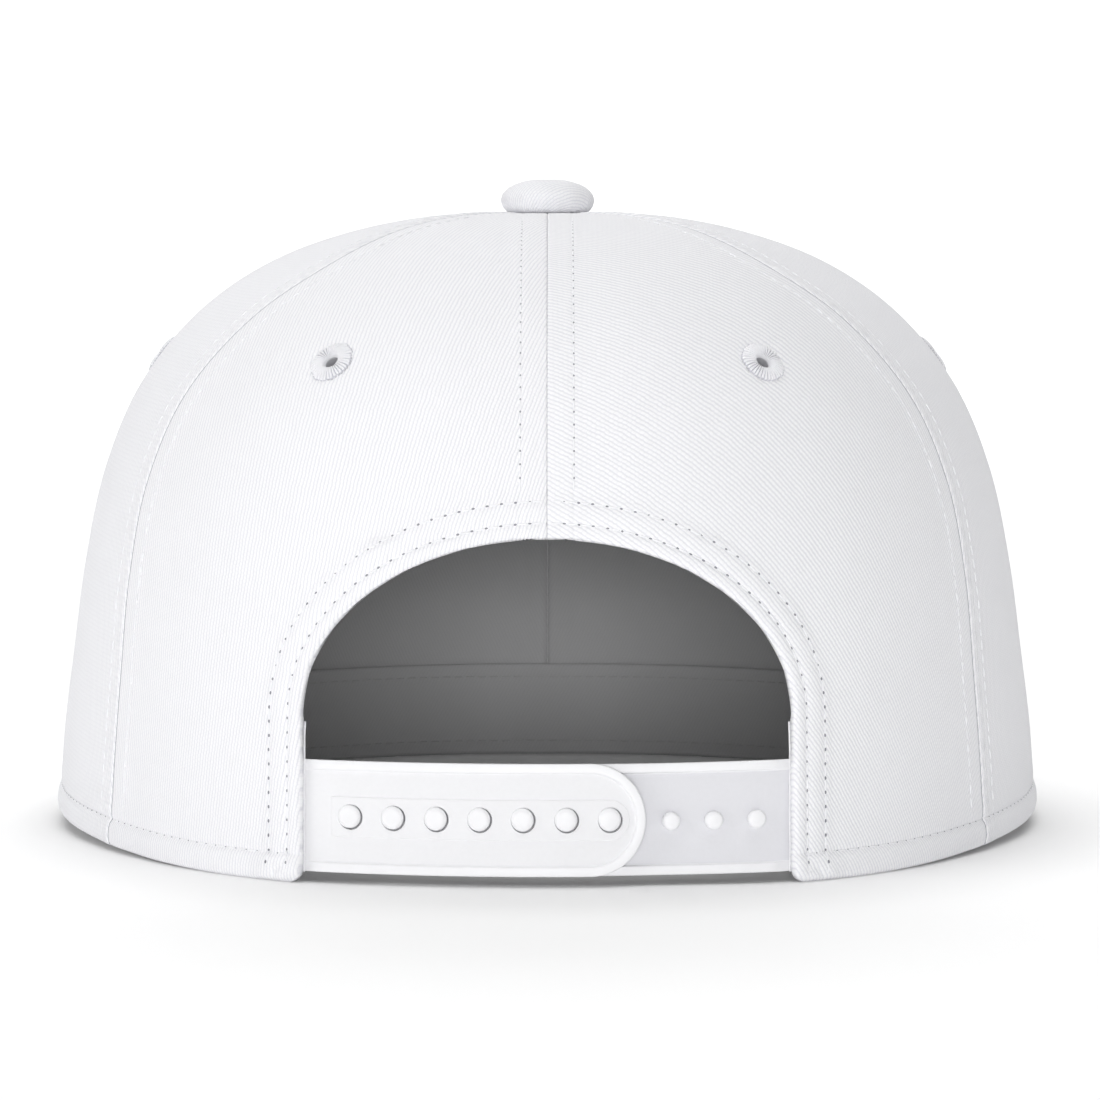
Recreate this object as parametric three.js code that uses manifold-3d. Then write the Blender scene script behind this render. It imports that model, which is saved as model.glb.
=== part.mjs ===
// Six-panel cap with a flat brim and a plastic snap closure, in millimetres. +Z is up, the brim
// points to +Y and the snap closure to -Y. The cap rests on its brim and on the back of its hem.
import * as THREE from "three";
import { mergeVertices } from "three/addons/utils/BufferGeometryUtils.js";
import Module from "manifold-3d";

// Crown

const crownHeight = 117; // from the surface that the cap rests on to the cloth under the button
const crownHalfWidth = 94.4;
const crownBackDepth = 103; // from the button's axis to the back of the hem
const crownFrontDepth = 98;
const sideSeamAngle = 58.7; // degrees from the back of the seam between back and side panel
const frontSeamAngle = 122.5;
const seamPinch = 0.012; // share by which the crown draws in at each seam
const seamSharpness = 4; // how narrow that draw is, 2 for a plain wave from seam to seam
const panelCloth = 1.6;
const liningCloth = 1;
const layerGap = 0.3; // between pieces that touch on the real cap
const topHoleRadius = 4; // the panels' tips stop here, under the button
const hemHeight = 6.5;
const hemRoll = 0.6; // how far the turned-up hem stands out
const hemCorner = 0.8; // rounding of the hem's lower edge
const backRestAngle = 32; // degrees each side of the back where the hem rests on the surface

// Back opening

const archHalfWidth = 42;
const archSpring = 29.2; // height at which the straight edges end
const archTop = 59.1;
const archFullness = 2.1; // exponent of the curve over the opening, 2 for an ellipse
const facingWidth = 12; // the lining stops this far short of the opening

// Button and eyelets

const buttonRadius = 8.9;
const buttonHeight = 5.7;
const buttonFootRadius = 6.4;
const shankRadius = 3.2;
const shankLength = 5;
const eyeletRadius = 4.2;
const eyeletHole = 1.2;
const eyeletWall = 0.7;
const eyeletRaise = 0.55;
const eyeletCrest = 0.65; // where the ring stands highest, as a share of the way from hole to rim
const eyeletSag = 0.6; // how far the cloth falls away from the ring's flat back
const eyeletAngle = 31; // degrees from the back and from the front, on each side
const eyeletHeight = 89.6; // above the surface that the cap rests on

// Sweatband

const sweatbandCloth = 1;
const sweatbandTop = 20.6; // height of its upper edge
const sweatbandLift = 0.4; // height of its lower edge

// Brim

const brimReach = 70; // from the front of the crown to the brim's front edge
const brimCornerAngle = 115; // degrees from the back at which the brim meets the hem
const brimFullness = 2.3;
const brimUpper = 1.9;
const brimUnder = 1.4;

// Snap closure

const strapWidth = 19.3;
const strapRaise = 1.9; // its lower edge above the surface
const strapThickness = 0.9;
const strapSlack = 0.15; // more room over the tails, where the tab's facets cut the curve short
const strapBow = 130; // radius of the stretch between the tabs
const strapTail = 10; // length sewn in behind each tab
const rimClear = 1.5; // from the tab's edge to the strap's rim
const rimWidth = 1.65;
const rimHeight = 0.5;
const ribWidth = 6.9;
const ribHeight = 0.3;
const holeCount = 7;
const holePitch = 7.64;
const lastHole = 11.1; // sideways from the middle of the back
const tipMargin = 6.2; // from the last hole to the strap's tip
const holeRadius = 1.95;
const freePegs = 3;
const freePegPitch = 7.45;
const freePegStart = 10.4; // from the last hole to the first free peg
const pegShankRadius = 1.15;
const pegHeadRadius = 1.6;
const pegProud = 0.8; // how far the head stands out of the rib
const pegBevel = 0.3; // share of the head's height that its bevels take, below and above

// Half sizes of the crown going up, as shares of its height, half width and two depths, and how many
// degrees the side seams have swung towards the front
const crownSections = [
  { up: 0, side: 1, back: 1, front: 1, swing: 0 },
  { up: 0.13, side: 0.99, back: 0.99, front: 0.984, swing: 0 },
  { up: 0.27, side: 0.969, back: 0.969, front: 0.964, swing: 0.7 },
  { up: 0.42, side: 0.944, back: 0.944, front: 0.94, swing: 1.5 },
  { up: 0.57, side: 0.904, back: 0.904, front: 0.907, swing: 1.5 },
  { up: 0.71, side: 0.832, back: 0.832, front: 0.852, swing: -0.4 },
  { up: 0.83, side: 0.715, back: 0.715, front: 0.756, swing: -5 },
  { up: 0.915, side: 0.567, back: 0.567, front: 0.622, swing: -10.5 },
  { up: 0.9685, side: 0.39, back: 0.39, front: 0.44, swing: -11 },
  { up: 0.995, side: 0.202, back: 0.202, front: 0.23, swing: -11 },
  { up: 1, side: 0, back: 0, front: 0, swing: -11 },
];

// Outline of the button from its foot up, as shares of its radius and height
const buttonOutline = [
  { out: 0.9, up: 0.1 },
  { out: 0.99, up: 0.32 },
  { out: 1, up: 0.5 },
  { out: 0.94, up: 0.7 },
  { out: 0.78, up: 0.87 },
  { out: 0.5, up: 0.97 },
];

const brimThickness = brimUnder + layerGap + brimUpper;
const liningDepth = panelCloth + layerGap;
const liningLift = 2 * hemCorner; // height of its lower edge over the hem's
const sweatbandDepth = liningDepth + liningCloth + layerGap;
const brimTuck = sweatbandDepth - layerGap; // how far the brim goes in under the crown
const strapDepth = liningDepth + strapSlack; // the tails lie where the lining stops short
const strapStack = strapThickness + layerGap + rimHeight;
const strapTip = lastHole + tipMargin;
const strapMiddle = strapRaise + strapWidth / 2;
const tuckedIn = 0.5; // how deep joined strips and pegs reach into each other
const seamAngles = [0, sideSeamAngle, frontSeamAngle, 180].map(THREE.MathUtils.degToRad);

// Facets
const panelColumns = 8;
const upperRows = 10;
const sweatbandRows = 2;
const archSteps = 20;
const buttonSides = 20;
const eyeletSides = 10;
const brimSteps = 40;
const strapFacet = 10; // length of the straps' facets
const strapRows = 2;
const endSteps = 8;
const studSides = 9;

const [backSeam, sideSeam, frontSeam, noseSeam] = seamAngles;
const panels = [
  { name: "back_right", from: backSeam, to: sideSeam, eyelet: eyeletAngle, back: true },
  { name: "side_right", from: sideSeam, to: frontSeam, eyelet: 90 },
  { name: "front_right", from: frontSeam, to: noseSeam, eyelet: 180 - eyeletAngle },
  { name: "front_left", from: -noseSeam, to: -frontSeam, eyelet: eyeletAngle - 180 },
  { name: "side_left", from: -frontSeam, to: -sideSeam, eyelet: -90 },
  { name: "back_left", from: -sideSeam, to: backSeam, eyelet: -eyeletAngle, back: true },
];

const twill = new THREE.MeshStandardMaterial({ color: 0xf4f4f6, roughness: 0.9 });
const greyTwill = new THREE.MeshStandardMaterial({ color: 0x8a8a8a, roughness: 0.95 });
const thread = new THREE.MeshStandardMaterial({ color: 0xf8f8fa, roughness: 0.7 });
const plastic = new THREE.MeshStandardMaterial({ color: 0xf6f6f8, roughness: 0.35 });

const wasm = await Module();
wasm.setup();

const radians = THREE.MathUtils.degToRad;
const lerp = THREE.MathUtils.lerp;
const smoothstep = THREE.MathUtils.smoothstep;

// Solids

function solidOf(geometry) {
  const bare = new THREE.BufferGeometry();
  const source = geometry.index ? geometry.toNonIndexed() : geometry;
  bare.setAttribute("position", source.getAttribute("position"));
  const merged = mergeVertices(bare, 1e-4);
  return new wasm.Manifold(
    new wasm.Mesh({
      numProp: 3,
      vertProperties: new Float32Array(merged.attributes.position.array),
      triVerts: new Uint32Array(merged.index.array),
    }),
  );
}

function geometryOf(solid) {
  const mesh = solid.getMesh();
  const geometry = new THREE.BufferGeometry();
  geometry.setAttribute("position", new THREE.BufferAttribute(mesh.vertProperties, 3));
  geometry.setIndex(new THREE.BufferAttribute(mesh.triVerts, 1));
  return geometry;
}

function geometryFromTriangles(triangles) {
  return new THREE.BufferGeometry().setFromPoints(triangles.flat());
}

// A closed wall between two grids of points that have the same rows and columns.
// Rows run upwards, and columns to the right as seen from outside the outer grid.
function wallBetween(outer, inner) {
  const triangles = [];
  const rows = outer.length - 1;
  const columns = outer[0].length - 1;
  const quad = (a, b, c, d) => triangles.push([a, b, c], [a, c, d]);
  for (let r = 0; r < rows; r++) {
    for (let c = 0; c < columns; c++) {
      quad(outer[r][c], outer[r][c + 1], outer[r + 1][c + 1], outer[r + 1][c]);
      quad(inner[r][c], inner[r + 1][c], inner[r + 1][c + 1], inner[r][c + 1]);
    }
    const [low, high] = [r, r + 1];
    quad(outer[low][0], outer[high][0], inner[high][0], inner[low][0]);
    quad(outer[low][columns], inner[low][columns], inner[high][columns], outer[high][columns]);
  }
  for (let c = 0; c < columns; c++) {
    quad(outer[0][c], inner[0][c], inner[0][c + 1], outer[0][c + 1]);
    quad(outer[rows][c], outer[rows][c + 1], inner[rows][c + 1], inner[rows][c]);
  }
  return geometryFromTriangles(triangles);
}

// A lathed solid standing on a point, its axis along the direction
function lathedAt(outline, sides, point, direction) {
  const points = outline.map(([radius, height]) => new THREE.Vector2(radius, height));
  const geometry = new THREE.LatheGeometry(points, sides);
  const turn = new THREE.Quaternion().setFromUnitVectors(new THREE.Vector3(0, 1, 0), direction);
  geometry.applyQuaternion(turn);
  return geometry.translate(point.x, point.y, point.z);
}

// Crown surface

function catmullRom(a, b, c, d, t) {
  return b + 0.5 * t * (c - a + t * (2 * a - 5 * b + 4 * c - d + t * (3 * (b - c) + d - a)));
}

// One column of the crown's table at a climb of 0 at the hem to 1 on the button's axis.
// A little under 0 it runs on below the hem.
function crownShare(column, climb) {
  const last = crownSections.length - 1;
  const i = THREE.MathUtils.clamp(Math.floor(climb * last), 0, last - 1);
  const at = (k) => crownSections[k][column];
  const before = i === 0 ? 2 * at(0) - at(1) : at(i - 1);
  const mirrored = column === "up" || column === "swing" ? at(last - 1) : -at(last - 1);
  const after = i + 2 > last ? mirrored : at(i + 2);
  return catmullRom(before, at(i), at(i + 1), after, climb * last - i);
}

// The climb at which a rising or falling function reaches a value
function climbWhere(reached) {
  let low = -0.1;
  let high = 1;
  for (let k = 0; k < 40; k++) {
    const middle = (low + high) / 2;
    if (reached(middle)) high = middle;
    else low = middle;
  }
  return high;
}

// Angles turn from the back, 0, towards +X and on to the front, pi
function hemLift(angle) {
  const turned = Math.abs(Math.atan2(Math.sin(angle), Math.cos(angle)));
  const frontLift = brimThickness + layerGap;
  return frontLift * smoothstep(turned, radians(backRestAngle), radians(brimCornerAngle));
}

// A seam's angle at a climb
function seamAt(seam, climb) {
  if (Math.abs(seam) !== sideSeam) return seam;
  return seam + Math.sign(seam) * radians(crownShare("swing", climb));
}

// How far the crown draws in at an angle, as a factor: most at the seams, nothing between them
function seamFactor(angle, climb) {
  const turned = Math.abs(Math.atan2(Math.sin(angle), Math.cos(angle)));
  const seams = seamAngles.map((seam) => seamAt(seam, climb));
  const next = Math.max(1, seams.findIndex((seam) => seam >= turned));
  const across = (turned - seams[next - 1]) / (seams[next] - seams[next - 1]);
  return 1 - seamPinch * Math.cos(Math.PI * across) ** seamSharpness;
}

function crownSurface(angle, climb) {
  const pinch = seamFactor(angle, climb);
  const depth =
    Math.cos(angle) > 0
      ? crownBackDepth * crownShare("back", climb)
      : crownFrontDepth * crownShare("front", climb);
  const lift = hemLift(angle);
  return new THREE.Vector3(
    crownHalfWidth * crownShare("side", climb) * pinch * Math.sin(angle),
    -depth * pinch * Math.cos(angle),
    lift + (crownHeight - lift) * crownShare("up", climb),
  );
}

function crownNormal(angle, climb) {
  const step = 1e-3;
  const low = Math.min(climb, 1 - 2 * step);
  const up = crownSurface(angle, low + step).sub(crownSurface(angle, low));
  const along = crownSurface(angle + step, low).sub(crownSurface(angle - step, low));
  return along.cross(up).normalize();
}

// A point below the crown's surface, or above it where the depth is negative
function crownPoint(angle, climb, depth) {
  return crownSurface(angle, climb).addScaledVector(crownNormal(angle, climb), -depth);
}

function climbAtHeight(height, angle = 0) {
  const lift = hemLift(angle);
  return climbWhere((climb) => lift + (crownHeight - lift) * crownShare("up", climb) >= height);
}

const topClimb = climbWhere((climb) => crownHalfWidth * crownShare("side", climb) <= topHoleRadius);

// The angle to one side of the back at which the crown's surface is that far sideways
function angleAtSide(side, climb) {
  let angle = 0;
  for (let k = 0; k < 6; k++) {
    const reach = crownHalfWidth * crownShare("side", climb) * seamFactor(angle, climb);
    angle = Math.asin(Math.min(1, side / reach));
  }
  return angle;
}

// Panels and lining

// How far the panel's outer face lies under the crown's surface, by height over the hem
function hemDepth(height) {
  if (height < hemCorner) return lerp(hemCorner / 2, -hemRoll, height / hemCorner);
  return -hemRoll * (1 - smoothstep(height, hemHeight - hemCorner, hemHeight + hemCorner));
}

// A grid of crown points between two seams, each row at one climb, half a gap short of the seams
function crownGrid(panel, climbs, depthOf) {
  return climbs.map((climb) => {
    const [from, to] = [seamAt(panel.from, climb), seamAt(panel.to, climb)];
    const reach = crownSurface((from + to) / 2, climb).setZ(0).length();
    const inset = layerGap / 2 / reach;
    return Array.from({ length: panelColumns + 1 }, (_, k) => {
      const angle = lerp(from + inset, to - inset, k / panelColumns);
      const height = crownSurface(angle, climb).z - hemLift(angle);
      return crownPoint(angle, climb, depthOf(height));
    });
  });
}

// Angles of the panels' columns all round, without the two at the back seam
function columnAngles() {
  const steps = Array.from({ length: panelColumns }, (_, k) => k / panelColumns);
  const angles = panels.flatMap(({ from, to }) => steps.map((share) => lerp(from, to, share)));
  const positive = angles.map((angle) => (angle < 0 ? angle + 2 * Math.PI : angle));
  return positive.filter((angle) => angle > 0).sort((a, b) => a - b);
}

// Climbs of a grid's rows: the lowest are at heights over the hem, and the rest are shared by
// panels and lining, so that their facets lie parallel
function gridClimbs(heights) {
  const low = heights.map((height) => climbAtHeight(height));
  const start = low.at(-1);
  const upper = Array.from({ length: upperRows }, (_, k) => lerp(start, topClimb, (k + 1) / upperRows));
  return [...low, ...upper];
}

// The back opening as a block that runs through the back of the crown, grown by a margin
function archBlock(margin) {
  const half = archHalfWidth + margin;
  const top = archTop + margin;
  const points = [new THREE.Vector2(half, -crownHeight), new THREE.Vector2(half, archSpring)];
  for (let k = 1; k < archSteps; k++) {
    const turn = (k / archSteps) * Math.PI;
    const across = Math.sign(Math.cos(turn)) * Math.abs(Math.cos(turn)) ** (2 / archFullness);
    const up = Math.sin(turn) ** (2 / archFullness);
    points.push(new THREE.Vector2(half * across, lerp(archSpring, top, up)));
  }
  points.push(new THREE.Vector2(-half, archSpring), new THREE.Vector2(-half, -crownHeight));
  const shape = new THREE.Shape(points);
  const depth = 2 * crownBackDepth;
  const block = new THREE.ExtrudeGeometry(shape, { depth, bevelEnabled: false });
  return solidOf(block.rotateX(Math.PI / 2));
}

function eyeletPlace(panel) {
  const angle = radians(panel.eyelet);
  const climb = climbAtHeight(eyeletHeight, angle);
  return { point: crownSurface(angle, climb), normal: crownNormal(angle, climb) };
}

function eyeletBore(panel) {
  const { point, normal } = eyeletPlace(panel);
  const radius = eyeletHole + eyeletWall + layerGap;
  const reach = sweatbandDepth + eyeletRaise;
  const outline = [
    [0, -reach],
    [radius, -reach],
    [radius, reach],
    [0, reach],
  ];
  return solidOf(lathedAt(outline, eyeletSides, point, normal));
}

// A panel's wall with its eyelet's hole, and with the opening cut out of it at the back
function cutWall(panel, climbs, outerDepth, innerDepth, margin) {
  const outer = crownGrid(panel, climbs, outerDepth);
  const inner = crownGrid(panel, climbs, innerDepth);
  const wall = solidOf(wallBetween(outer, inner)).subtract(eyeletBore(panel));
  return geometryOf(panel.back ? wall.subtract(archBlock(margin)) : wall);
}

function panelGeometry(panel) {
  const climbs = gridClimbs([0, hemCorner, hemHeight - hemCorner, hemHeight + hemCorner]);
  const innerDepth = (height) => panelCloth - Math.max(0, (hemCorner - height) / 2);
  return cutWall(panel, climbs, hemDepth, innerDepth, 0);
}

function liningGeometry(panel) {
  const climbs = gridClimbs([liningLift, hemHeight + hemCorner]);
  const depth = liningDepth + liningCloth;
  return cutWall(panel, climbs, () => liningDepth, () => depth, facingWidth);
}

// Button and eyelets

function buttonGeometry() {
  const foot = crownHeight + layerGap;
  const outline = [
    [0, -shankLength],
    [shankRadius, -shankLength],
    [shankRadius, 0],
    [buttonFootRadius, 0],
    ...buttonOutline.map(({ out, up }) => [out * buttonRadius, up * buttonHeight]),
    [0, buttonHeight],
  ];
  return lathedAt(outline, buttonSides, new THREE.Vector3(0, 0, foot), new THREE.Vector3(0, 0, 1));
}

// A stitched ring that lines the hole and grips both faces of the cloth
function eyeletGeometry(panel) {
  const { point, normal } = eyeletPlace(panel);
  const sleeve = eyeletHole + eyeletWall;
  const inside = -(liningDepth + liningCloth + layerGap + eyeletSag);
  const outline = [
    [eyeletHole, inside - eyeletRaise],
    [eyeletRadius, inside - eyeletRaise],
    [eyeletRadius, inside],
    [sleeve, inside],
    [sleeve, layerGap],
    [eyeletRadius, layerGap],
    [lerp(eyeletHole, eyeletRadius, eyeletCrest), layerGap + eyeletRaise],
    [eyeletHole, layerGap],
    [eyeletHole, inside - eyeletRaise],
  ];
  return lathedAt(outline, eyeletSides, point, normal);
}

// Sweatband

// One strip round the inside, open at the back like the crown. Its columns stand on the lining's.
function sweatbandGeometry() {
  const inset = layerGap / crownBackDepth;
  const angles = [inset, ...columnAngles(), 2 * Math.PI - inset];
  const grid = (depth) =>
    Array.from({ length: sweatbandRows + 1 }, (_, r) => {
      const height = lerp(sweatbandLift, sweatbandTop, r / sweatbandRows);
      return angles.map((angle) => crownPoint(angle, climbAtHeight(height, angle), depth));
    });
  const ring = wallBetween(grid(sweatbandDepth), grid(sweatbandDepth + sweatbandCloth));
  return geometryOf(solidOf(ring).subtract(archBlock(layerGap)));
}

// Brim

// A flat plate whose outer edge is a full curve and whose inner edge runs under the hem
function brimGeometry(bottom, thickness) {
  const corner = radians(brimCornerAngle);
  const edge = crownSurface(corner, 0);
  const front = crownFrontDepth + brimReach;
  const outline = [];
  for (let k = 0; k <= brimSteps; k++) {
    const t = (k / brimSteps) * Math.PI;
    const across = Math.abs(Math.cos(t)) ** (2 / brimFullness);
    const along = Math.sin(t) ** (2 / brimFullness);
    outline.push(new THREE.Vector2(edge.x * Math.sign(Math.cos(t)) * across, lerp(edge.y, front, along)));
  }
  const between = columnAngles().filter((angle) => angle > corner && angle < 2 * Math.PI - corner);
  for (const angle of [2 * Math.PI - corner, ...between.reverse(), corner]) {
    const { x, y } = crownPoint(angle, climbAtHeight(0, angle), brimTuck);
    outline.push(new THREE.Vector2(x, y));
  }
  const shape = new THREE.Shape(outline);
  return new THREE.ExtrudeGeometry(shape, { depth: thickness, bevelEnabled: false })
    .translate(0, 0, bottom);
}

// Snap closure

// The face that the straps lie on: behind the tabs it follows the crown, and it bows between them
function strapSurface(x, z) {
  const climb = climbAtHeight(z);
  const side = Math.max(Math.abs(x), archHalfWidth);
  const held = crownPoint(angleAtSide(side, climb), climb, strapDepth);
  const free = Math.min(1, Math.abs(x) / archHalfWidth);
  const bow = (archHalfWidth ** 2 * (1 - free ** 2)) / (2 * strapBow);
  return new THREE.Vector3(held.x * free * Math.sign(x), held.y - bow, z);
}

function strapNormal(x, z) {
  const step = 0.05;
  const along = strapSurface(x + step, z).sub(strapSurface(x - step, z));
  const up = strapSurface(x, z + step).sub(strapSurface(x, z - step));
  return along.cross(up).normalize();
}

function strapPoint(x, z, out) {
  return strapSurface(x, z).addScaledVector(strapNormal(x, z), out);
}

// How far the pegged strap sinks to pass under the other
function pegStrapSink(x) {
  return strapStack * (1 - smoothstep(x, strapTip, archHalfWidth));
}

// A strip of the strap between two depths, cut to an outline that is drawn from behind the cap
function strapStrip(outline, bottom, top, sink) {
  const xs = outline.map((point) => point.x);
  const [start, end] = [Math.min(...xs) - layerGap, Math.max(...xs) + layerGap];
  const columns = Math.ceil((end - start) / strapFacet);
  const grid = (out) =>
    Array.from({ length: strapRows + 1 }, (_, r) =>
      Array.from({ length: columns + 1 }, (_, c) => {
        const x = lerp(start, end, c / columns);
        const z = strapMiddle + (r / strapRows - 0.5) * (strapWidth + 2 * layerGap);
        return strapPoint(x, z, out - sink(x));
      }),
    );
  const depth = 2 * crownBackDepth;
  const block = new THREE.ExtrudeGeometry(new THREE.Shape(outline), { depth, bevelEnabled: false });
  return solidOf(wallBetween(grid(top), grid(bottom))).intersect(solidOf(block.rotateX(Math.PI / 2)));
}

// Half an outline round a strap's end, from its upper to its lower straight edge.
// The end points to +X where the side is 1, and to -X where it is -1.
function roundEnd(tip, radius, side) {
  return Array.from({ length: endSteps + 1 }, (_, k) => {
    const turn = lerp(Math.PI / 2, -Math.PI / 2, k / endSteps);
    const along = tip - radius + radius * Math.cos(turn);
    return new THREE.Vector2(side * along, strapMiddle + radius * Math.sin(turn));
  });
}

// A band from a square start to a round tip. Both are measured towards the side that it points to.
function bandOutline(start, tip, halfWidth, side) {
  const tail = [-halfWidth, halfWidth].map((z) => new THREE.Vector2(side * start, strapMiddle + z));
  return [...tail, ...roundEnd(tip, halfWidth, side)];
}

// The rim follows the long edges and the tip, and ends at the tab
function rimOutline(start, tip, side) {
  const half = strapWidth / 2;
  const inner = half - rimWidth;
  const at = (z) => new THREE.Vector2(side * start, strapMiddle + z);
  const inside = roundEnd(tip - rimWidth, inner, side).reverse();
  return [at(half), ...roundEnd(tip, half, side), at(-half), at(-inner), ...inside, at(inner)];
}

function rimmedStrap(tip, side, sink) {
  const base = bandOutline(-(archHalfWidth + strapTail), tip, strapWidth / 2, side);
  const rim = rimOutline(rimClear - archHalfWidth, tip, side);
  return strapStrip(base, -strapThickness, 0, sink).add(strapStrip(rim, -tuckedIn, rimHeight, sink));
}

function holePlaces() {
  return Array.from({ length: holeCount }, (_, k) => lastHole - k * holePitch);
}

function pegPlaces() {
  const free = Array.from({ length: freePegs }, (_, k) => lastHole + freePegStart + k * freePegPitch);
  return [...holePlaces(), ...free];
}

// Lathed solids that stand on the strap's face, one at each place
function studsAt(places, outline, sink) {
  return places.map((x) =>
    solidOf(lathedAt(outline, studSides, strapPoint(x, strapMiddle, -sink(x)), strapNormal(x, strapMiddle))),
  );
}

function holedStrapGeometry() {
  const level = () => 0;
  const rib = bandOutline(holePlaces().at(-1) - ribWidth / 2, lastHole + ribWidth / 2, ribWidth / 2, 1);
  const strap = rimmedStrap(strapTip, 1, level).add(strapStrip(rib, -tuckedIn, ribHeight, level));
  const outline = [
    [0, -strapStack],
    [holeRadius, -strapStack],
    [holeRadius, strapStack],
    [0, strapStack],
  ];
  const holes = studsAt(holePlaces(), outline, level);
  return geometryOf(holes.reduce((rest, hole) => rest.subtract(hole), strap));
}

function peggedStrapGeometry() {
  const tip = pegHeadRadius + rimWidth - holePlaces().at(-1);
  const top = strapStack + ribHeight + pegProud;
  const shoulder = top - pegProud - pegShankRadius / 2;
  const outline = [
    [0, -tuckedIn],
    [pegShankRadius, -tuckedIn],
    [pegShankRadius, shoulder],
    [pegHeadRadius, lerp(shoulder, top, pegBevel)],
    [pegHeadRadius, lerp(shoulder, top, 1 - pegBevel)],
    [0, top],
  ];
  const pegs = studsAt(pegPlaces(), outline, pegStrapSink);
  return geometryOf(pegs.reduce((all, peg) => all.add(peg), rimmedStrap(tip, -1, pegStrapSink)));
}

// Assembly

const cap = new THREE.Group();

function addPiece(name, geometry, material) {
  geometry.computeVertexNormals();
  const mesh = new THREE.Mesh(geometry, material);
  mesh.name = name;
  cap.add(mesh);
}

for (const panel of panels) {
  addPiece("panel_" + panel.name, panelGeometry(panel), twill);
  addPiece("lining_" + panel.name, liningGeometry(panel), greyTwill);
  addPiece("eyelet_" + panel.name, eyeletGeometry(panel), thread);
}
addPiece("top_button", buttonGeometry(), twill);
addPiece("sweatband", sweatbandGeometry(), greyTwill);
addPiece("brim_upper", brimGeometry(brimUnder + layerGap, brimUpper), twill);
addPiece("brim_underside", brimGeometry(0, brimUnder), greyTwill);
addPiece("snap_strap_holed", holedStrapGeometry(), plastic);
addPiece("snap_strap_pegged", peggedStrapGeometry(), plastic);

// The origin is on the surface, under the middle of the cap's box
const box = new THREE.Box3().setFromObject(cap);
const middle = box.getCenter(new THREE.Vector3());
cap.position.set(-middle.x, -middle.y, -box.min.z);

export default cap;
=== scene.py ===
# Snapback cap seen from behind. Lengths in the dictionaries are millimetres unless a note says otherwise.
import math
from contextlib import contextmanager
import bmesh
import bpy
import numpy as np
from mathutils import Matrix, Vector


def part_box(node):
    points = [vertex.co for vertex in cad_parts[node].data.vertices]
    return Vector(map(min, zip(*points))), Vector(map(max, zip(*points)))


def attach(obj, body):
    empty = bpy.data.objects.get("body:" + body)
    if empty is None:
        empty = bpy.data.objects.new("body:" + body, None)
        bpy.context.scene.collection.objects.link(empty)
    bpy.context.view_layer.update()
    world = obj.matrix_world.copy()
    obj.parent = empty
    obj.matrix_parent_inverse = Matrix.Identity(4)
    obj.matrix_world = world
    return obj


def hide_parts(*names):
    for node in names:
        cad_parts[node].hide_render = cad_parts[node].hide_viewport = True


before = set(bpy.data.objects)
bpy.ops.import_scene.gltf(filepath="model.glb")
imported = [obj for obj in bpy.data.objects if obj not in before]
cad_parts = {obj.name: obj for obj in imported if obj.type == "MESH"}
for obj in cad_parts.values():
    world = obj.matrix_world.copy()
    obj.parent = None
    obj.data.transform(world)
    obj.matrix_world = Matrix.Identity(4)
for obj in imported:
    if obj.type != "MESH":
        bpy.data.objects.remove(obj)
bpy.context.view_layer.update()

# The crown's table is the solids' own, as shares of its height, half width and two depths
crown = {
    "height": 117.0,
    "halfWidth": 94.4,
    "backDepth": 103.0,
    "frontDepth": 98.0,
    "seams": (0.0, 58.7, 122.5, 180.0),  # degrees from the back
    "pinch": 0.012,  # how far it draws in at the seams
    "up": (0, 0.13, 0.27, 0.42, 0.57, 0.71, 0.83, 0.915, 0.9685, 0.995, 1),
    "side": (1, 0.99, 0.969, 0.944, 0.904, 0.832, 0.715, 0.567, 0.39, 0.202, 0),
    "back": (1, 0.99, 0.969, 0.944, 0.904, 0.832, 0.715, 0.567, 0.39, 0.202, 0),
    "front": (1, 0.984, 0.964, 0.94, 0.907, 0.852, 0.756, 0.622, 0.44, 0.23, 0),
    "swing": (0, 0, 0.7, 1.5, 1.5, -0.4, -5, -10.5, -11, -11, -11),  # degrees the side seams have turned
    "lift": 3.9,  # the hem climbs this far onto the brim
    "liftFrom": 32.0,  # degrees from the back
    "liftTo": 115.0,
    "topHole": 4.0,
}
opening = {
    "halfWidth": 42.0,
    "clothSide": 42.75,  # its rounded edge stands this far out, and shows at the half width
    "spring": 29.2,
    "top": 59.9,  # its rounded edge comes down to about the source's arch
    "fullness": 2.0,
    "corner": 2.6,
}

buttonLow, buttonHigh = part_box("top_button")
axisY = (buttonLow.y + buttonHigh.y) * 500  # the crown's axis, in millimetres along the frame's Y


# Numbers

def unit(vectors):
    return vectors / np.linalg.norm(vectors, axis=-1, keepdims=True)


def lengthsOf(points):
    # The way run along a polyline up to each of its points
    return np.concatenate([[0], np.cumsum(np.linalg.norm(np.diff(points, axis=0), axis=1))])


def roundOff(distance, radius):
    # How far a rounded edge has dropped at a distance in from it
    return radius - np.sqrt(np.maximum(radius ** 2 - np.clip(radius - distance, 0, radius) ** 2, 0))


def quarter(count):
    return np.linspace(0, np.pi / 2, count)


def fullTurn(sides):
    return 2 * np.pi * np.arange(sides) / sides


def stack(*columns):
    return np.stack(np.broadcast_arrays(*columns), -1)


def turnedUv(u, v, degrees):
    # Places on the cloth with the ribs turned
    turned = math.radians(degrees)
    across = u * math.sin(turned) - v * math.cos(turned)
    return stack(across, u * math.cos(turned) + v * math.sin(turned))


def smooth(x, low, high):
    t = np.clip((np.asarray(x, float) - low) / (high - low), 0, 1)
    return t * t * (3 - 2 * t)


def bump(x, centre, reach):
    t = np.clip(np.abs(np.asarray(x, float) - centre) / reach, 0, 1)
    return (1 - t * t) ** 2


def waves(along, seed, lengths, amount):
    mix = np.random.default_rng(seed)
    total = 0
    for length in lengths:
        total = total + mix.uniform(0.5, 1) * np.sin(2 * np.pi * along / length + mix.uniform(0, 6.3))
    return amount * total / len(lengths)


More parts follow.
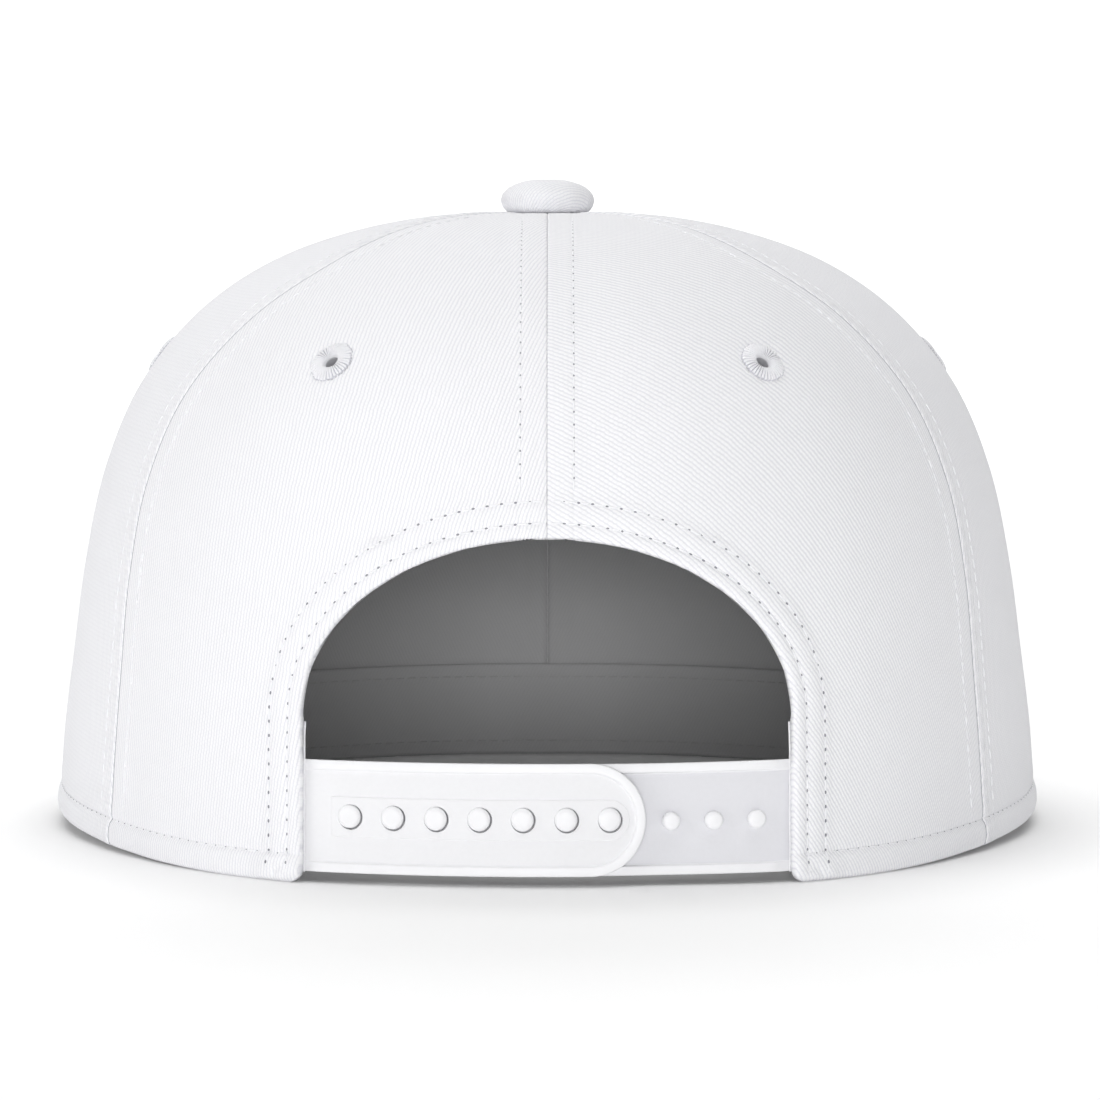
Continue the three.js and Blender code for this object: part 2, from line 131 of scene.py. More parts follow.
def shareOf(column, climb):
    # Catmull-Rom through the crown's table, at 0 on the hem to 1 on the button's axis
    values = crown[column]
    last = len(values) - 1
    beyond = values[last - 1] if column in ("up", "swing") else -values[last - 1]
    padded = np.array([2 * values[0] - values[1], *values, beyond])
    climb = np.asarray(climb, float)
    i = np.clip(np.floor(climb * last).astype(int), 0, last - 1)
    t = climb * last - i
    a, b, c, d = (padded[i + k] for k in range(4))
    return b + 0.5 * t * (c - a + t * (2 * a - 5 * b + 4 * c - d + t * (3 * (b - c) + d - a)))


climbSteps = np.linspace(-0.1, 1, 4401)
upSteps = shareOf("up", climbSteps)


# Crown surface, in millimetres about the crown's axis. Angles turn from the back to +X and the front.

def turnedFromBack(angle):
    return np.abs(np.arctan2(np.sin(angle), np.cos(angle)))


def hemLift(angle):
    return crown["lift"] * smooth(np.degrees(turnedFromBack(angle)), crown["liftFrom"], crown["liftTo"])


def seamAt(seam, climb):
    # A seam's angle at a climb. The side seams swing a little on their way up.
    swing = shareOf("swing", climb) if abs(seam) == crown["seams"][1] else 0 * np.asarray(climb, float)
    return np.radians(seam + math.copysign(1, seam) * swing)


def pinchAt(angle, climb):
    turned = turnedFromBack(angle)
    back, side, front, nose = (seamAt(seam, climb) for seam in crown["seams"])
    ahead = np.where(turned < front, (turned - side) / (front - side), (turned - front) / (nose - front))
    across = np.where(turned < side, turned / side, ahead)
    return 1 - crown["pinch"] * np.cos(np.pi * across) ** 4


def crownSurface(angle, climb):
    angle, climb = np.broadcast_arrays(np.asarray(angle, float), np.asarray(climb, float))
    pinch = pinchAt(angle, climb)
    back = crown["backDepth"] * shareOf("back", climb)
    front = crown["frontDepth"] * shareOf("front", climb)
    depth = np.where(np.cos(angle) > 0, back, front)
    lift = hemLift(angle)
    x = crown["halfWidth"] * shareOf("side", climb) * pinch * np.sin(angle)
    y = -depth * pinch * np.cos(angle)
    return stack(x, y, lift + (crown["height"] - lift) * shareOf("up", climb))


def crownNormal(angle, climb):
    low = np.minimum(climb, 0.998)
    up = crownSurface(angle, low + 0.001) - crownSurface(angle, low)
    along = crownSurface(np.asarray(angle) + 0.001, low) - crownSurface(np.asarray(angle) - 0.001, low)
    return unit(np.cross(along, up))


def crownPoint(angle, climb, out):
    return crownSurface(angle, climb) + crownNormal(angle, climb) * np.asarray(out)[..., None]


def climbAt(height, angle=0.0):
    lift = hemLift(angle)
    return np.interp((height - lift) / (crown["height"] - lift), upSteps, climbSteps)


def angleAt(side, climb):
    angle = np.zeros_like(np.asarray(side, float) + np.asarray(climb, float))
    for _ in range(8):
        reach = crown["halfWidth"] * shareOf("side", climb) * pinchAt(angle, climb)
        angle = np.arcsin(np.clip(side / np.maximum(reach, 1e-6), -1, 1))
    return angle


backLengths = lengthsOf(crownSurface(0.0, climbSteps))
topClimb = float(np.interp(-crown["topHole"], -crown["halfWidth"] * shareOf("side", climbSteps), climbSteps))


def lengthAlong(climb):
    # Length up the back seam, in millimetres
    return np.interp(climb, climbSteps, backLengths)


def lengthUp(angle, climb):
    # Length of cloth from the hem up to a climb, at one angle
    steps = np.linspace(0, 1, 600)
    return np.interp(climb, steps, lengthsOf(crownSurface(angle, steps)))


def climbsByLength(angle, start, end, step):
    steps = np.linspace(start, end, 400)
    run = lengthUp(angle, steps)
    count = max(2, int(round((run[-1] - run[0]) / step)))
    return np.interp(np.linspace(run[0], run[-1], count + 1)[1:], run, steps)


# Back opening

def archSide(height, halfWidth, grown=0):
    # Half the width at a height of an arch as high as the opening's, or grown
    share = np.clip((height - opening["spring"]) / (opening["top"] + grown - opening["spring"]), 0, 1)
    n = opening["fullness"]
    return halfWidth * (1 - share ** n) ** (1 / n)


def archClimbs(count, grown=0):
    # Climbs that follow the arch's curve at an even pace
    rise = opening["top"] + grown - opening["spring"]
    return climbAt(opening["spring"] + rise * np.sin(quarter(count)))


def openingSide(height, corner=opening["corner"]):
    # Half the opening's width at a height, with the tabs' lower corners rounded
    return archSide(height, opening["clothSide"]) + roundOff(height, corner)


def besideOpening(panel, start, end, cut):
    # A back panel's rows stop at the opening, which cuts this far from the middle
    if panel["start"] == 0:
        return np.maximum(start, cut), end
    return start, np.minimum(end, -cut)


def openingEdge(count, corner):
    # Points of the opening's edge on the +X side, from the tab's foot to the top in the middle
    n = opening["fullness"]
    turn = quarter(count)
    rise = opening["top"] - opening["spring"]
    side = opening["clothSide"] * np.cos(turn) ** (2 / n)
    arch = stack(side, opening["spring"] + rise * np.sin(turn) ** (2 / n))
    heights = np.linspace(0.0, opening["spring"], count // 2, endpoint=False)
    tab = stack(openingSide(heights, corner), heights)
    flat = np.concatenate([tab, arch])
    climb = climbAt(flat[:, 1])
    return flat, climb, crownSurface(angleAt(flat[:, 0], climb), climb)


edgePoints = openingEdge(160, opening["corner"])[2]


def distanceToOpening(points):
    flat = stack(np.abs(points[..., 0]), points[..., 1], points[..., 2]).reshape(-1, 3)
    nearest = np.full(len(flat), 1e3)
    atBack = (flat[:, 1] < -40) & (flat[:, 2] < opening["top"] + 25)
    for k in np.nonzero(atBack)[0]:
        nearest[k] = np.sqrt(((edgePoints - flat[k]) ** 2).sum(1).min())
    return nearest.reshape(points.shape[:-1])


# Cloth relief

seamwork = {
    "thickness": 1.6,
    "hem": 4.9,  # height of the hem's stitches
    "hemRoll": 0.55,
    "topstitch": 4.8,  # from the seam to its stitches
    "crownSink": 0.5,  # how far the cloth is pulled down under the button
    "openingRows": (2.6, 6.4),  # from the opening's edge
    "stitchPitch": 2.5,
    "edgeRadius": 0.8,
    "seamRadius": 0.27,
    "ridge": 2.3,  # width of the folded band along a side seam
    "seamGap": 0.02,
    "seamFold": 0.16,  # rise of the doubled cloth beside a seam
    "openingFold": 0.36,
    "edgeRow": 0.24,  # depth of the grooves that the opening's stitches pull
    "bandRise": 0.14,
    "bandSlant": (0.05, 0.85),  # height and pitch of the band's slanted ribs
    "ditch": (0.12, 0.2),  # depth along a side seam and a middle seam
    "openingThread": (0.16, 0.28),  # radius of the thread and of its needle holes
    "hemThread": (0.14, 0.2),
    "seamThread": 0.13,
}

panels = {
    # from and to in degrees, the eyelet's angle, where the weave is measured from, and how the count
    # of ribs grows with the way across, the way up, both together and the way across squared
    "back_right": dict(start=0.0, end=58.7, eyelet=31, grain=0, ribs=(0.64, 0.77, -0.0036, 0.0026)),
    "side_right": dict(start=58.7, end=122.5, eyelet=90, grain=90, ribs=(0.91, -0.41, 0, 0)),
    "front_right": dict(start=122.5, end=180.0, eyelet=149, grain=180, ribs=(0.91, 0.41, 0, 0)),
    "front_left": dict(start=-180.0, end=-122.5, eyelet=-149, grain=-180, ribs=(0.91, -0.41, 0, 0)),
    "side_left": dict(start=-122.5, end=-58.7, eyelet=-90, grain=-90, ribs=(0.91, 0.41, 0, 0)),
    "back_left": dict(start=-58.7, end=0.0, eyelet=-31, grain=0, ribs=(1.2, -0.33, -0.003, 0.0012)),
}
for name, panel in panels.items():
    panel["back"] = name.startswith("back")
    panel["folded"] = name.startswith("side")  # both its seams' cloth is folded to its side

eyelet = {
    "height": 89.6,
    "radius": 4.2,
    "hole": 1.3,
    "cut": 2.0,  # radius cleared in the cloth under the satin stitches
    "threads": 36,
}


def eyeletFrame(panel):
    # Middle, outward direction and the two directions along the cloth
    middle = math.radians(panel["eyelet"])
    climb = float(climbAt(eyelet["height"], middle))
    normal = crownNormal(middle, climb)
    along = unit(np.cross([0, 0, 1], normal))
    return middle, climb, crownSurface(middle, climb), normal, along, np.cross(normal, along)


def middleOf(panel):
    return math.radians((panel["start"] + panel["end"]) / 2)


def edgesOf(panel, climb):
    return seamAt(panel["start"], climb), seamAt(panel["end"], climb)


def reachPerAngle(panel, climb):
    # Millimetres of cloth for a radian along a row
    start, end = edgesOf(panel, climb)
    a, b, c = (crownSurface(start + (end - start) * share, climb) for share in (0, 0.5, 1))
    chord = np.linalg.norm(b - a, axis=-1) + np.linalg.norm(c - b, axis=-1)
    return chord * 1.012 / (end - start)


def relief(panel, angle, climb):
    # How far the cloth stands out of the crown's plain surface
    points = crownSurface(angle, climb)
    perAngle = reachPerAngle(panel, climb)
    start, end = edgesOf(panel, climb)
    fromLow = (angle - start) * perAngle
    fromHigh = (end - angle) * perAngle
    height = points[..., 2] - hemLift(angle)
    width = (end - start) * perAngle
    out = waves(angle * 95, 3, (61, 37, 23), 0.12) * smooth(height, 6, 30) * smooth(width, 8, 30)
    for distance, seam in ((fromLow, panel["start"]), (fromHigh, panel["end"])):
        along = lengthAlong(climb)
        side = abs(seam) == crown["seams"][1]
        pucker = waves(along, int(abs(seam)) + 5, (9.5, 6.3, 14), 0.05) * bump(distance, 4.8, 5)
        plateau = seamwork["seamFold"] * (1 - smooth(distance, 4.6, 6.4))
        groove = (0.08 if side else 0.16) * bump(distance, seamwork["topstitch"], 0.7)
        band = smooth(distance, 0.2, 0.55)
        band = band * (1 - smooth(distance, seamwork["ridge"] - 0.35, seamwork["ridge"] + 0.1))
        slant, slantPitch = seamwork["bandSlant"]
        slanted = slant * np.sin(2 * np.pi * (along - 1.3 * distance) / slantPitch)
        raised = (seamwork["bandRise"] + slanted) * band * panel["folded"]
        dashes = 1 if side else 0.6 + 0.4 * np.sin(2 * np.pi * along / 1.8)
        ditch = seamwork["ditch"][0 if side else 1] * dashes * np.exp(-((distance / 0.3) ** 2))
        out = out + (plateau - groove + raised - ditch + pucker) * smooth(width, 4, 14)
    out = out - seamwork["crownSink"] * (1 - smooth(width, 8, 34))
    centre = eyeletFrame(panel)[2]
    out = out - 0.28 * bump(np.linalg.norm(points - centre, axis=-1), eyelet["radius"] + 0.2, 0.6)
    roll = np.clip(height / seamwork["hem"], 0, 1)
    hemPucker = waves(angle * 98, 11, (7.5, 11, 5.1), 0.09)
    out = out + (seamwork["hemRoll"] + hemPucker) * np.sin(np.pi * roll) ** 0.75
    out = out - 0.22 * bump(height, seamwork["hem"], 0.8) + 0.08 * bump(height, seamwork["hem"] + 2.2, 2)
    if panel["back"]:
        edge = distanceToOpening(points)
        along = points[..., 2] * 1.3 + np.abs(points[..., 0]) * 0.7
        first, second = seamwork["openingRows"]
        puff = 0.16 * bump(edge, (first + second) / 2, 2.0) + 0.12 * bump(edge, 1.4, 1.5)
        grooves = seamwork["edgeRow"] * (bump(edge, first, 0.75) + bump(edge, second, 0.8))
        plateau = seamwork["openingFold"] * (1 - smooth(edge, second + 0.2, second + 1.5))
        pucker = waves(along, 21, (8.2, 5.6, 12), 0.07) * bump(edge, 5, 6)
        out = out + (plateau + puff - grooves + pucker) * smooth(height, 0, 1)
    return out, fromLow, fromHigh, height, points


# Meshes

def addObject(name, data):
    obj = bpy.data.objects.new(name, data)
    bpy.context.scene.collection.objects.link(obj)
    return obj


@contextmanager
def editing(obj):
    work = bmesh.new()
    work.from_mesh(obj.data)
    yield work
    work.to_mesh(obj.data)
    work.free()


def meshObject(name, points, faces, material, uv=None):
    mesh = bpy.data.meshes.new(name)
    shifted = (np.asarray(points, float).reshape(-1, 3) + np.array([0, axisY, 0])) / 1000
    faces = np.asarray(faces)
    corners = faces.shape[1]
    mesh.vertices.add(len(shifted))
    mesh.vertices.foreach_set("co", shifted.astype(np.float32).ravel())
    mesh.loops.add(faces.size)
    mesh.loops.foreach_set("vertex_index", faces.astype(np.int32).ravel())
    mesh.polygons.add(len(faces))
    mesh.polygons.foreach_set("loop_start", np.arange(0, faces.size, corners, dtype=np.int32))
    mesh.polygons.foreach_set("use_smooth", np.full(len(faces), True))
    if uv is not None:
        layer = mesh.uv_layers.new(name="cloth")
        layer.data.foreach_set("uv", np.asarray(uv, np.float32)[faces.ravel()].ravel())
    mesh.update(calc_edges=True)
    mesh.validate()
    mesh.materials.append(material)
    return addObject(name, mesh)


def gridFaces(rows, columns, offset=0, flip=False):
    r, c = np.meshgrid(np.arange(rows - 1), np.arange(columns - 1), indexing="ij")
    a = (r * columns + c).ravel() + offset
    quads = np.stack([a, a + 1, a + columns + 1, a + columns], -1)
    return quads[:, ::-1] if flip else quads


def wallFaces(rows, columns, left=None):
    # Outer grid, inner grid and the strips that join their borders. left marks the cells that are there.
    size = rows * columns
    index = np.arange(size).reshape(rows, columns)
    left = np.ones((rows - 1, columns - 1), bool) if left is None else left
    there = np.pad(left, 1)
    strips = []
    for a, b, beyond in (
        (index[:-1, :-1], index[:-1, 1:], there[:-2, 1:-1]),
        (index[:-1, 1:], index[1:, 1:], there[1:-1, 2:]),
        (index[1:, 1:], index[1:, :-1], there[2:, 1:-1]),
        (index[1:, :-1], index[:-1, :-1], there[1:-1, :-2]),
    ):
        border = left & ~beyond
        strips.append(np.stack([a[border], a[border] + size, b[border] + size, b[border]], -1))
    keep = left.ravel()
    return np.concatenate([gridFaces(rows, columns)[keep], gridFaces(rows, columns, size, True)[keep], *strips])


def wallPiece(name, outer, inner, uv, material, slot, node=None, flip=False, left=None):
    # A cloth wall between an outer and an inner grid of points
    faces = wallFaces(*outer.shape[:2], left)
    both = np.concatenate([outer.reshape(-1, 3), inner.reshape(-1, 3)])
    uv = uv.reshape(-1, 2)
    piece = meshObject(name, both, faces[:, ::-1] if flip else faces, material, np.concatenate([uv, uv]))
    return place(piece, slot, *([node] if node else []))


def ringFaces(count, sides):
    # Joins closed rings of points to a tube
    index = np.arange(count * sides).reshape(count, sides)
    right = np.roll(index, -1, axis=1)
    return np.stack([index[:-1], right[:-1], right[1:], index[1:]], -1).reshape(-1, 4)


def ringsPiece(name, rings, material, slot, flip):
    # Many small tubes, from their points by ring, tube and side
    points = np.stack(rings, 1)
    many, count, sides = points.shape[:3]
    faces = ringFaces(count, sides)[None] + (np.arange(many) * count * sides)[:, None, None]
    faces = faces.reshape(-1, 4)
    return place(meshObject(name, points, faces[:, ::-1] if flip else faces, material), slot)


def closeEnds(obj, loops):
    # Fills the open ends of a sweep with one face each
    with editing(obj) as work:
        work.verts.ensure_lookup_table()
        for loop in loops:
            work.faces.new([work.verts[int(k)] for k in loop])


def place(obj, slot, *nodes):
    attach(obj, "root")
    if nodes:
        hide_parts(*nodes)
    return obj


def clearOfEyelet(panel, points):
    # The cells of a grid of points that stay when the eyelet's hole is punched
    _, _, centre, normal, _, _ = eyeletFrame(panel)
    cells = (points[:-1, :-1] + points[1:, :-1] + points[:-1, 1:] + points[1:, 1:]) / 4 - centre
    reach = np.linalg.norm(cells - (cells @ normal)[..., None] * normal, axis=-1)
    return (reach > eyelet["cut"]) | (cells @ normal < -8)


# Materials

def linear(hexColour):
    channels = [int(hexColour[i:i + 2], 16) / 255 for i in (1, 3, 5)]
    return [c / 12.92 if c <= 0.04045 else ((c + 0.055) / 1.055) ** 2.4 for c in channels] + [1]


def addNode(tree, kind, settings=None, links=None):
    node = tree.nodes.new(kind)
    for key, value in (settings or {}).items():
        if isinstance(key, int) or key in node.inputs:
            node.inputs[key].default_value = value
        else:
            setattr(node, key, value)
    for key, source in (links or {}).items():
        tree.links.new(source, node.inputs[key])
    return node


def newMaterial(name):
    material = bpy.data.materials.new(name)
    material.use_nodes = True
    tree = material.node_tree
    tree.nodes.clear()
    output = addNode(tree, "ShaderNodeOutputMaterial")
    shader = addNode(tree, "ShaderNodeBsdfPrincipled")
    tree.links.new(shader.outputs[0], output.inputs[0])
    return material, tree, shader


def dress(tree, shader, level, colours, height, depth, settings):
    # Gives a shader its colour by level, its fine relief by height and its constants
    low, high, position = colours
    ramp = addNode(tree, "ShaderNodeValToRGB", {}, {0: level})
    ramp.color_ramp.elements[0].color = low
    ramp.color_ramp.elements[1].color = high
    ramp.color_ramp.elements[1].position = position
    bumps = addNode(tree, "ShaderNodeBump", {"Strength": 1.0, "Distance": depth / 1000}, {"Height": height})
    tree.links.new(ramp.outputs[0], shader.inputs["Base Color"])
    tree.links.new(bumps.outputs[0], shader.inputs["Normal"])
    for key, value in settings.items():
        shader.inputs[key].default_value = value


def twill(name, rib, thread, ribPitch, depth, mottle, wander=0.5, slub=0.15):
    # Woven cotton twill: soft diagonal ribs of short floats, matt with a slight fuzz of fibre ends
    material, tree, shader = newMaterial(name)
    uv = addNode(tree, "ShaderNodeUVMap", {"uv_map": "cloth"})
    axes = addNode(tree, "ShaderNodeSeparateXYZ", {}, {0: uv.outputs[0]})
    made = {"x": axes.outputs[0], "y": axes.outputs[1]}
    # Noises over the cloth, by scale in cycles for a millimetre
    noises = {"wander": (0.35, 3.0), "slub": (1.6, 2.0), "cloud": (0.09, 4.0), "fuzz": (6.0, 2.0)}
    for step, (scale, detail) in noises.items():
        settings = {"Scale": scale, "Detail": detail}
        made[step] = addNode(tree, "ShaderNodeTexNoise", settings, {"Vector": uv.outputs[0]}).outputs[0]
    # Each step has a name, an operation and its inputs: numbers or earlier steps
    for step, operation, *inputs in (
        ("drift", "MULTIPLY_ADD", "wander", wander, "x"),
        ("across", "MULTIPLY_ADD", "slub", slub, "drift"),
        ("phase", "DIVIDE", "across", ribPitch),
        ("inRib", "FRACT", "phase"),
        ("centred", "MULTIPLY_ADD", "inRib", 2.0, -1.0),
        ("offRidge", "ABSOLUTE", "centred"),
        ("fall", "POWER", "offRidge", 2.2),
        ("ridge", "SUBTRACT", 1.0, "fall"),
        ("rib", "FLOOR", "phase"),
        ("stagger", "MULTIPLY", "rib", 0.37),
        ("along", "MULTIPLY_ADD", "y", 1 / (1.35 * ribPitch), "stagger"),
        ("inFloat", "FRACT", "along"),
        ("float", "MULTIPLY_ADD", "inFloat", 2.0, -1.0),
        ("offFloat", "ABSOLUTE", "float"),
        ("dive", "POWER", "offFloat", 3.0),
        ("swell", "MULTIPLY_ADD", "dive", -0.4, 1.0),
        ("height", "MULTIPLY", "ridge", "swell"),
        ("mottled", "MULTIPLY_ADD", "cloud", mottle, "height"),
        ("level", "SUBTRACT", "mottled", mottle / 2),
        ("raised", "MULTIPLY_ADD", "fuzz", 0.25, "height"),
    ):
        settings = {k: value for k, value in enumerate(inputs) if not isinstance(value, str)}
        links = {k: made[value] for k, value in enumerate(inputs) if isinstance(value, str)}
        made[step] = addNode(tree, "ShaderNodeMath", {"operation": operation, **settings}, links).outputs[0]
    # The low parts between the ribs take the darker colour: painted shade in the grooves, beside the bump. The
    # mottling is the cloth's own uneven tone.
    dress(tree, shader, made["level"], (linear(thread), linear(rib), 0.8), made["raised"], depth, {
        "Roughness": 0.88, "IOR": 1.45, "Specular IOR Level": 0.25, "Sheen Weight": 0.12, "Sheen Roughness": 0.5,
    })
    return material


def plainMaterial(name, colour, roughness, ior=1.5, specular=0.5, grainScale=900.0, grain=0.02, sheen=0.0):
    material, tree, shader = newMaterial(name)
    place3d = addNode(tree, "ShaderNodeTexCoord")
    where = {"Vector": place3d.outputs["Object"]}
    noise = addNode(tree, "ShaderNodeTexNoise", {"Scale": grainScale, "Detail": 3.0}, where).outputs[0]
    base = linear(colour)
    darker = [c * 0.965 for c in base[:3]] + [1]
    dress(tree, shader, noise, (darker, base, 1.0), noise, grain, {
        "Roughness": roughness, "IOR": ior, "Specular IOR Level": specular, "Sheen Weight": sheen,
    })
    return material


# Rib's colour and the darker groove colour, which paints shade into the grooves; rib pitch, depth and mottling
whiteTwill = twill("woven cotton twill", "#f6f6f8", "#e0e0e6", 0.66, 0.06, 0.1)
greyTwill = twill("grey woven cotton twill", "#bababb", "#b5b5b6", 0.7, 0.015, 0.2)
# Spun polyester sewing thread: tight and smooth, with a soft lustre
threadFinish = plainMaterial("polyester thread", "#f4f4f7", 0.5, 1.5, 0.4, 2500.0, 0.03, 0.1)
satinFinish = plainMaterial("satin-stitched polyester thread", "#efeff2", 0.5, 1.5, 0.4, 2500.0, 0.03, 0.1)
# Between two threads and in the hole hardly any light gets down
creaseFinish = plainMaterial("shaded polyester thread", "#c9c9d0", 0.7, 1.5, 0.2, 2500.0, 0.03)
boreFinish = plainMaterial("shaded bore of an eyelet", "#a6a6aa", 0.8, 1.5, 0.1, 2500.0, 0.03)
ditchShade = plainMaterial("shaded seam ditch in cotton", "#adadb4", 0.95, 1.45, 0.1, 2500.0, 0.0)
greyThread = plainMaterial("grey polyester thread", "#b4b4b5", 0.55, 1.5, 0.3, 2500.0, 0.03, 0.1)
# The pull of the thread leaves a small pit at each needle hole, and its shade is painted in this grey
pitShade = plainMaterial("painted shade of a needle hole", "#8c8c94", 0.95, 1.45, 0.1, 2500.0, 0.0)
# Injection-moulded polyethylene: satin on its raised edges, and spark-eroded matt on its flat field
plasticFinish = plainMaterial("moulded polyethylene", "#f3f3f5", 0.42, 1.51, 0.3, 350.0, 0.012)
# The field's colour is darker than the raised edges': painted shade in the recess, beside its real matt finish
fieldMattShade = plainMaterial("matt field of moulded polyethylene in painted shade", "#eeeef0", 0.62, 1.51, 0.2, 1400.0, 0.03)
# The pegged strap's field is darker still: painted shade, for it lies behind the holed strap
peggedFieldShade = plainMaterial("matt field of the pegged strap in deeper painted shade", "#e3e3e7", 0.66, 1.51, 0.2, 1400.0, 0.03)
print("materials made")


# Panels

# Mesh lines in from an edge and up from the hem, closest where the cloth bends most
nearEdge = np.array([
    0, 0.07, 0.22, 0.42, 0.68, 1.0, 1.35, 1.7, 2.1, 2.5, 2.95,
    3.4, 3.9, 4.35, 4.65, 4.95, 5.3, 5.8, 6.4, 7.1, 7.9,
])
hemRows = np.array([
    0, 0.07, 0.25, 0.55, 0.9, 1.35, 1.85, 2.35, 2.85, 3.35,
    3.8, 4.2, 4.5, 4.75, 5.0, 5.25, 5.6, 6.1, 6.8, 7.6,
])


def rowClimbs(panel, step):
    middle = middleOf(panel)
    low = climbAt(hemRows)
    if not panel["back"]:
        return np.concatenate([low, climbsByLength(middle, low[-1], topClimb, step)])
    spring = climbAt(opening["spring"])
    straight = climbsByLength(middle, low[-1], spring, step)
    arch = archClimbs(int(56 / step))[1:]
    over = climbAt(opening["top"] + nearEdge[1:])
    rest = climbsByLength(middle, over[-1], topClimb, step)
    return np.concatenate([low, straight, arch, over, rest])


def panelAngles(panel, climbs, middleColumns):
    perAngle = reachPerAngle(panel, climbs)
    gap = seamwork["seamGap"] / perAngle
    start, end = edgesOf(panel, climbs)
    start, end = start + gap, end - gap
    if panel["back"]:
        heights = crownSurface(0.0, climbs)[:, 2]
        cut = np.where(heights < opening["top"], angleAt(openingSide(heights), climbs), 0)
        start, end = besideOpening(panel, start, end, cut)
    width = (end - start) * perAngle
    scale = np.minimum(1, width / (3.2 * nearEdge[-1]))
    near = nearEdge[None] * scale[:, None]
    inner = np.linspace(0, 1, middleColumns + 2)[1:-1]
    middle = near[:, -1:] + (width[:, None] - 2 * near[:, -1:]) * inner[None]
    places = np.concatenate([near, middle, width[:, None] - near[:, ::-1]], 1)
    return start[:, None] + places / perAngle[:, None]


def clothUv(panel, angle, climb):
    perAngle = reachPerAngle(panel, climb)
    across = (angle - math.radians(panel["grain"])) * perAngle
    up = lengthUp(middleOf(panel), climb)
    a, b, bend, spread = panel["ribs"]
    return stack(a * across + b * up + bend * across * up + spread * across ** 2, a * up - b * across)


def crownPanel(name, panel):
    climbs = rowClimbs(panel, 1.0)
    angle = panelAngles(panel, climbs, 56)
    climb = climbs[:, None]
    out, fromLow, fromHigh, height, points = relief(panel, angle, climb)
    edge = np.minimum(height, distanceToOpening(points)) if panel["back"] else height
    edgeDrop = roundOff(edge, seamwork["edgeRadius"])
    seamDrop = roundOff(np.minimum(fromLow, fromHigh), seamwork["seamRadius"])
    outer = crownPoint(angle, climb, out - np.maximum(seamDrop, edgeDrop))
    inner = crownPoint(angle, climb, np.minimum(out, 0.4) * 0.3 - seamwork["thickness"] + edgeDrop)
    uv = clothUv(panel, angle, climb)
    left = clearOfEyelet(panel, outer)
    wallPiece("clothPanel_" + name, outer, inner, uv, whiteTwill, "white_twill", "panel_" + name, left=left)


for name, panel in panels.items():
    crownPanel(name, panel)
print("crown panels made")


# Lining and sweatband

lining = {"depth": 1.9, "thickness": 1.0, "facing": 12.0, "foot": 1.6, "seamTape": 5.5}
sweatband = {
    "depth": 3.2,
    "thickness": 1.0,
    "top": 20.6,
    "foot": 0.9,
    "topRow": 2.8,  # stitches below the upper edge
    "footRow": 2.7,  # stitches above the lower edge
    "pitch": 2.6,
    "thread": 0.14,
    "ribs": 62,
}


def liningPanel(name, panel):
    middle = middleOf(panel)
    foot = climbAt(lining["foot"])
    climbs = np.concatenate([[foot], climbsByLength(middle, foot, topClimb, 1.8)])
    if panel["back"]:
        # Rows follow the opening, grown by the width of its turned facing
        arch = archClimbs(40, lining["facing"])
        climbs = np.unique(np.round(np.concatenate([climbs, arch]), 6))
    perAngle = reachPerAngle(panel, climbs)
    gap = 0.01 / perAngle
    start, end = edgesOf(panel, climbs)
    low, high = start + gap, end - gap
    if panel["back"]:
        heights = crownSurface(0.0, climbs)[:, 2]
        side = archSide(heights, opening["halfWidth"] + lining["facing"], lining["facing"])
        low, high = besideOpening(panel, low, high, angleAt(side, climbs))
    spread = np.linspace(0, 1, 49)
    spread = spread - 0.75 * np.sin(2 * np.pi * spread) / (2 * np.pi)
    angle = low[:, None] + (high - low)[:, None] * spread[None]
    climb = climbs[:, None]
    fromSeam = np.minimum(angle - start[:, None], end[:, None] - angle) * perAngle[:, None]
    fade = smooth(perAngle, 8, 30)[:, None]
    tape = 0.35 * (1 - smooth(fromSeam, lining["seamTape"], lining["seamTape"] + 0.7)) * fade
    seamLine = 0.5 * np.exp(-((fromSeam / 0.6) ** 2)) * fade
    sag = waves(angle * 80, 31, (33, 21, 14), 0.15) * smooth(climb, 0.1, 0.3) * fade
    outer = crownPoint(angle, climb, 0 * angle - lining["depth"])
    inner = crownPoint(angle, climb, seamLine - tape - sag - lining["depth"] - lining["thickness"])
    uv = clothUv(panel, angle, climb)
    left = clearOfEyelet(panel, outer)
    wallPiece("clothLining_" + name, outer, inner, uv, greyTwill, "grey_twill", "lining_" + name, left=left)


def sweatbandRelief(height):
    # Inwards: a soft band, drawn in along both rows of stitches
    top = sweatband["top"] - sweatband["topRow"]
    foot = sweatband["foot"] + sweatband["footRow"]
    puff = 0.45 * smooth(height, foot, foot + 5) * (1 - smooth(height, top - 5, top))
    return puff - 0.22 * bump(height, top, 1.1) - 0.22 * bump(height, foot, 1.1)


def sweatbandPoint(angle, height, into):
    climb = climbAt(height, angle)
    return crownPoint(angle, climb, -(sweatband["depth"] + into))


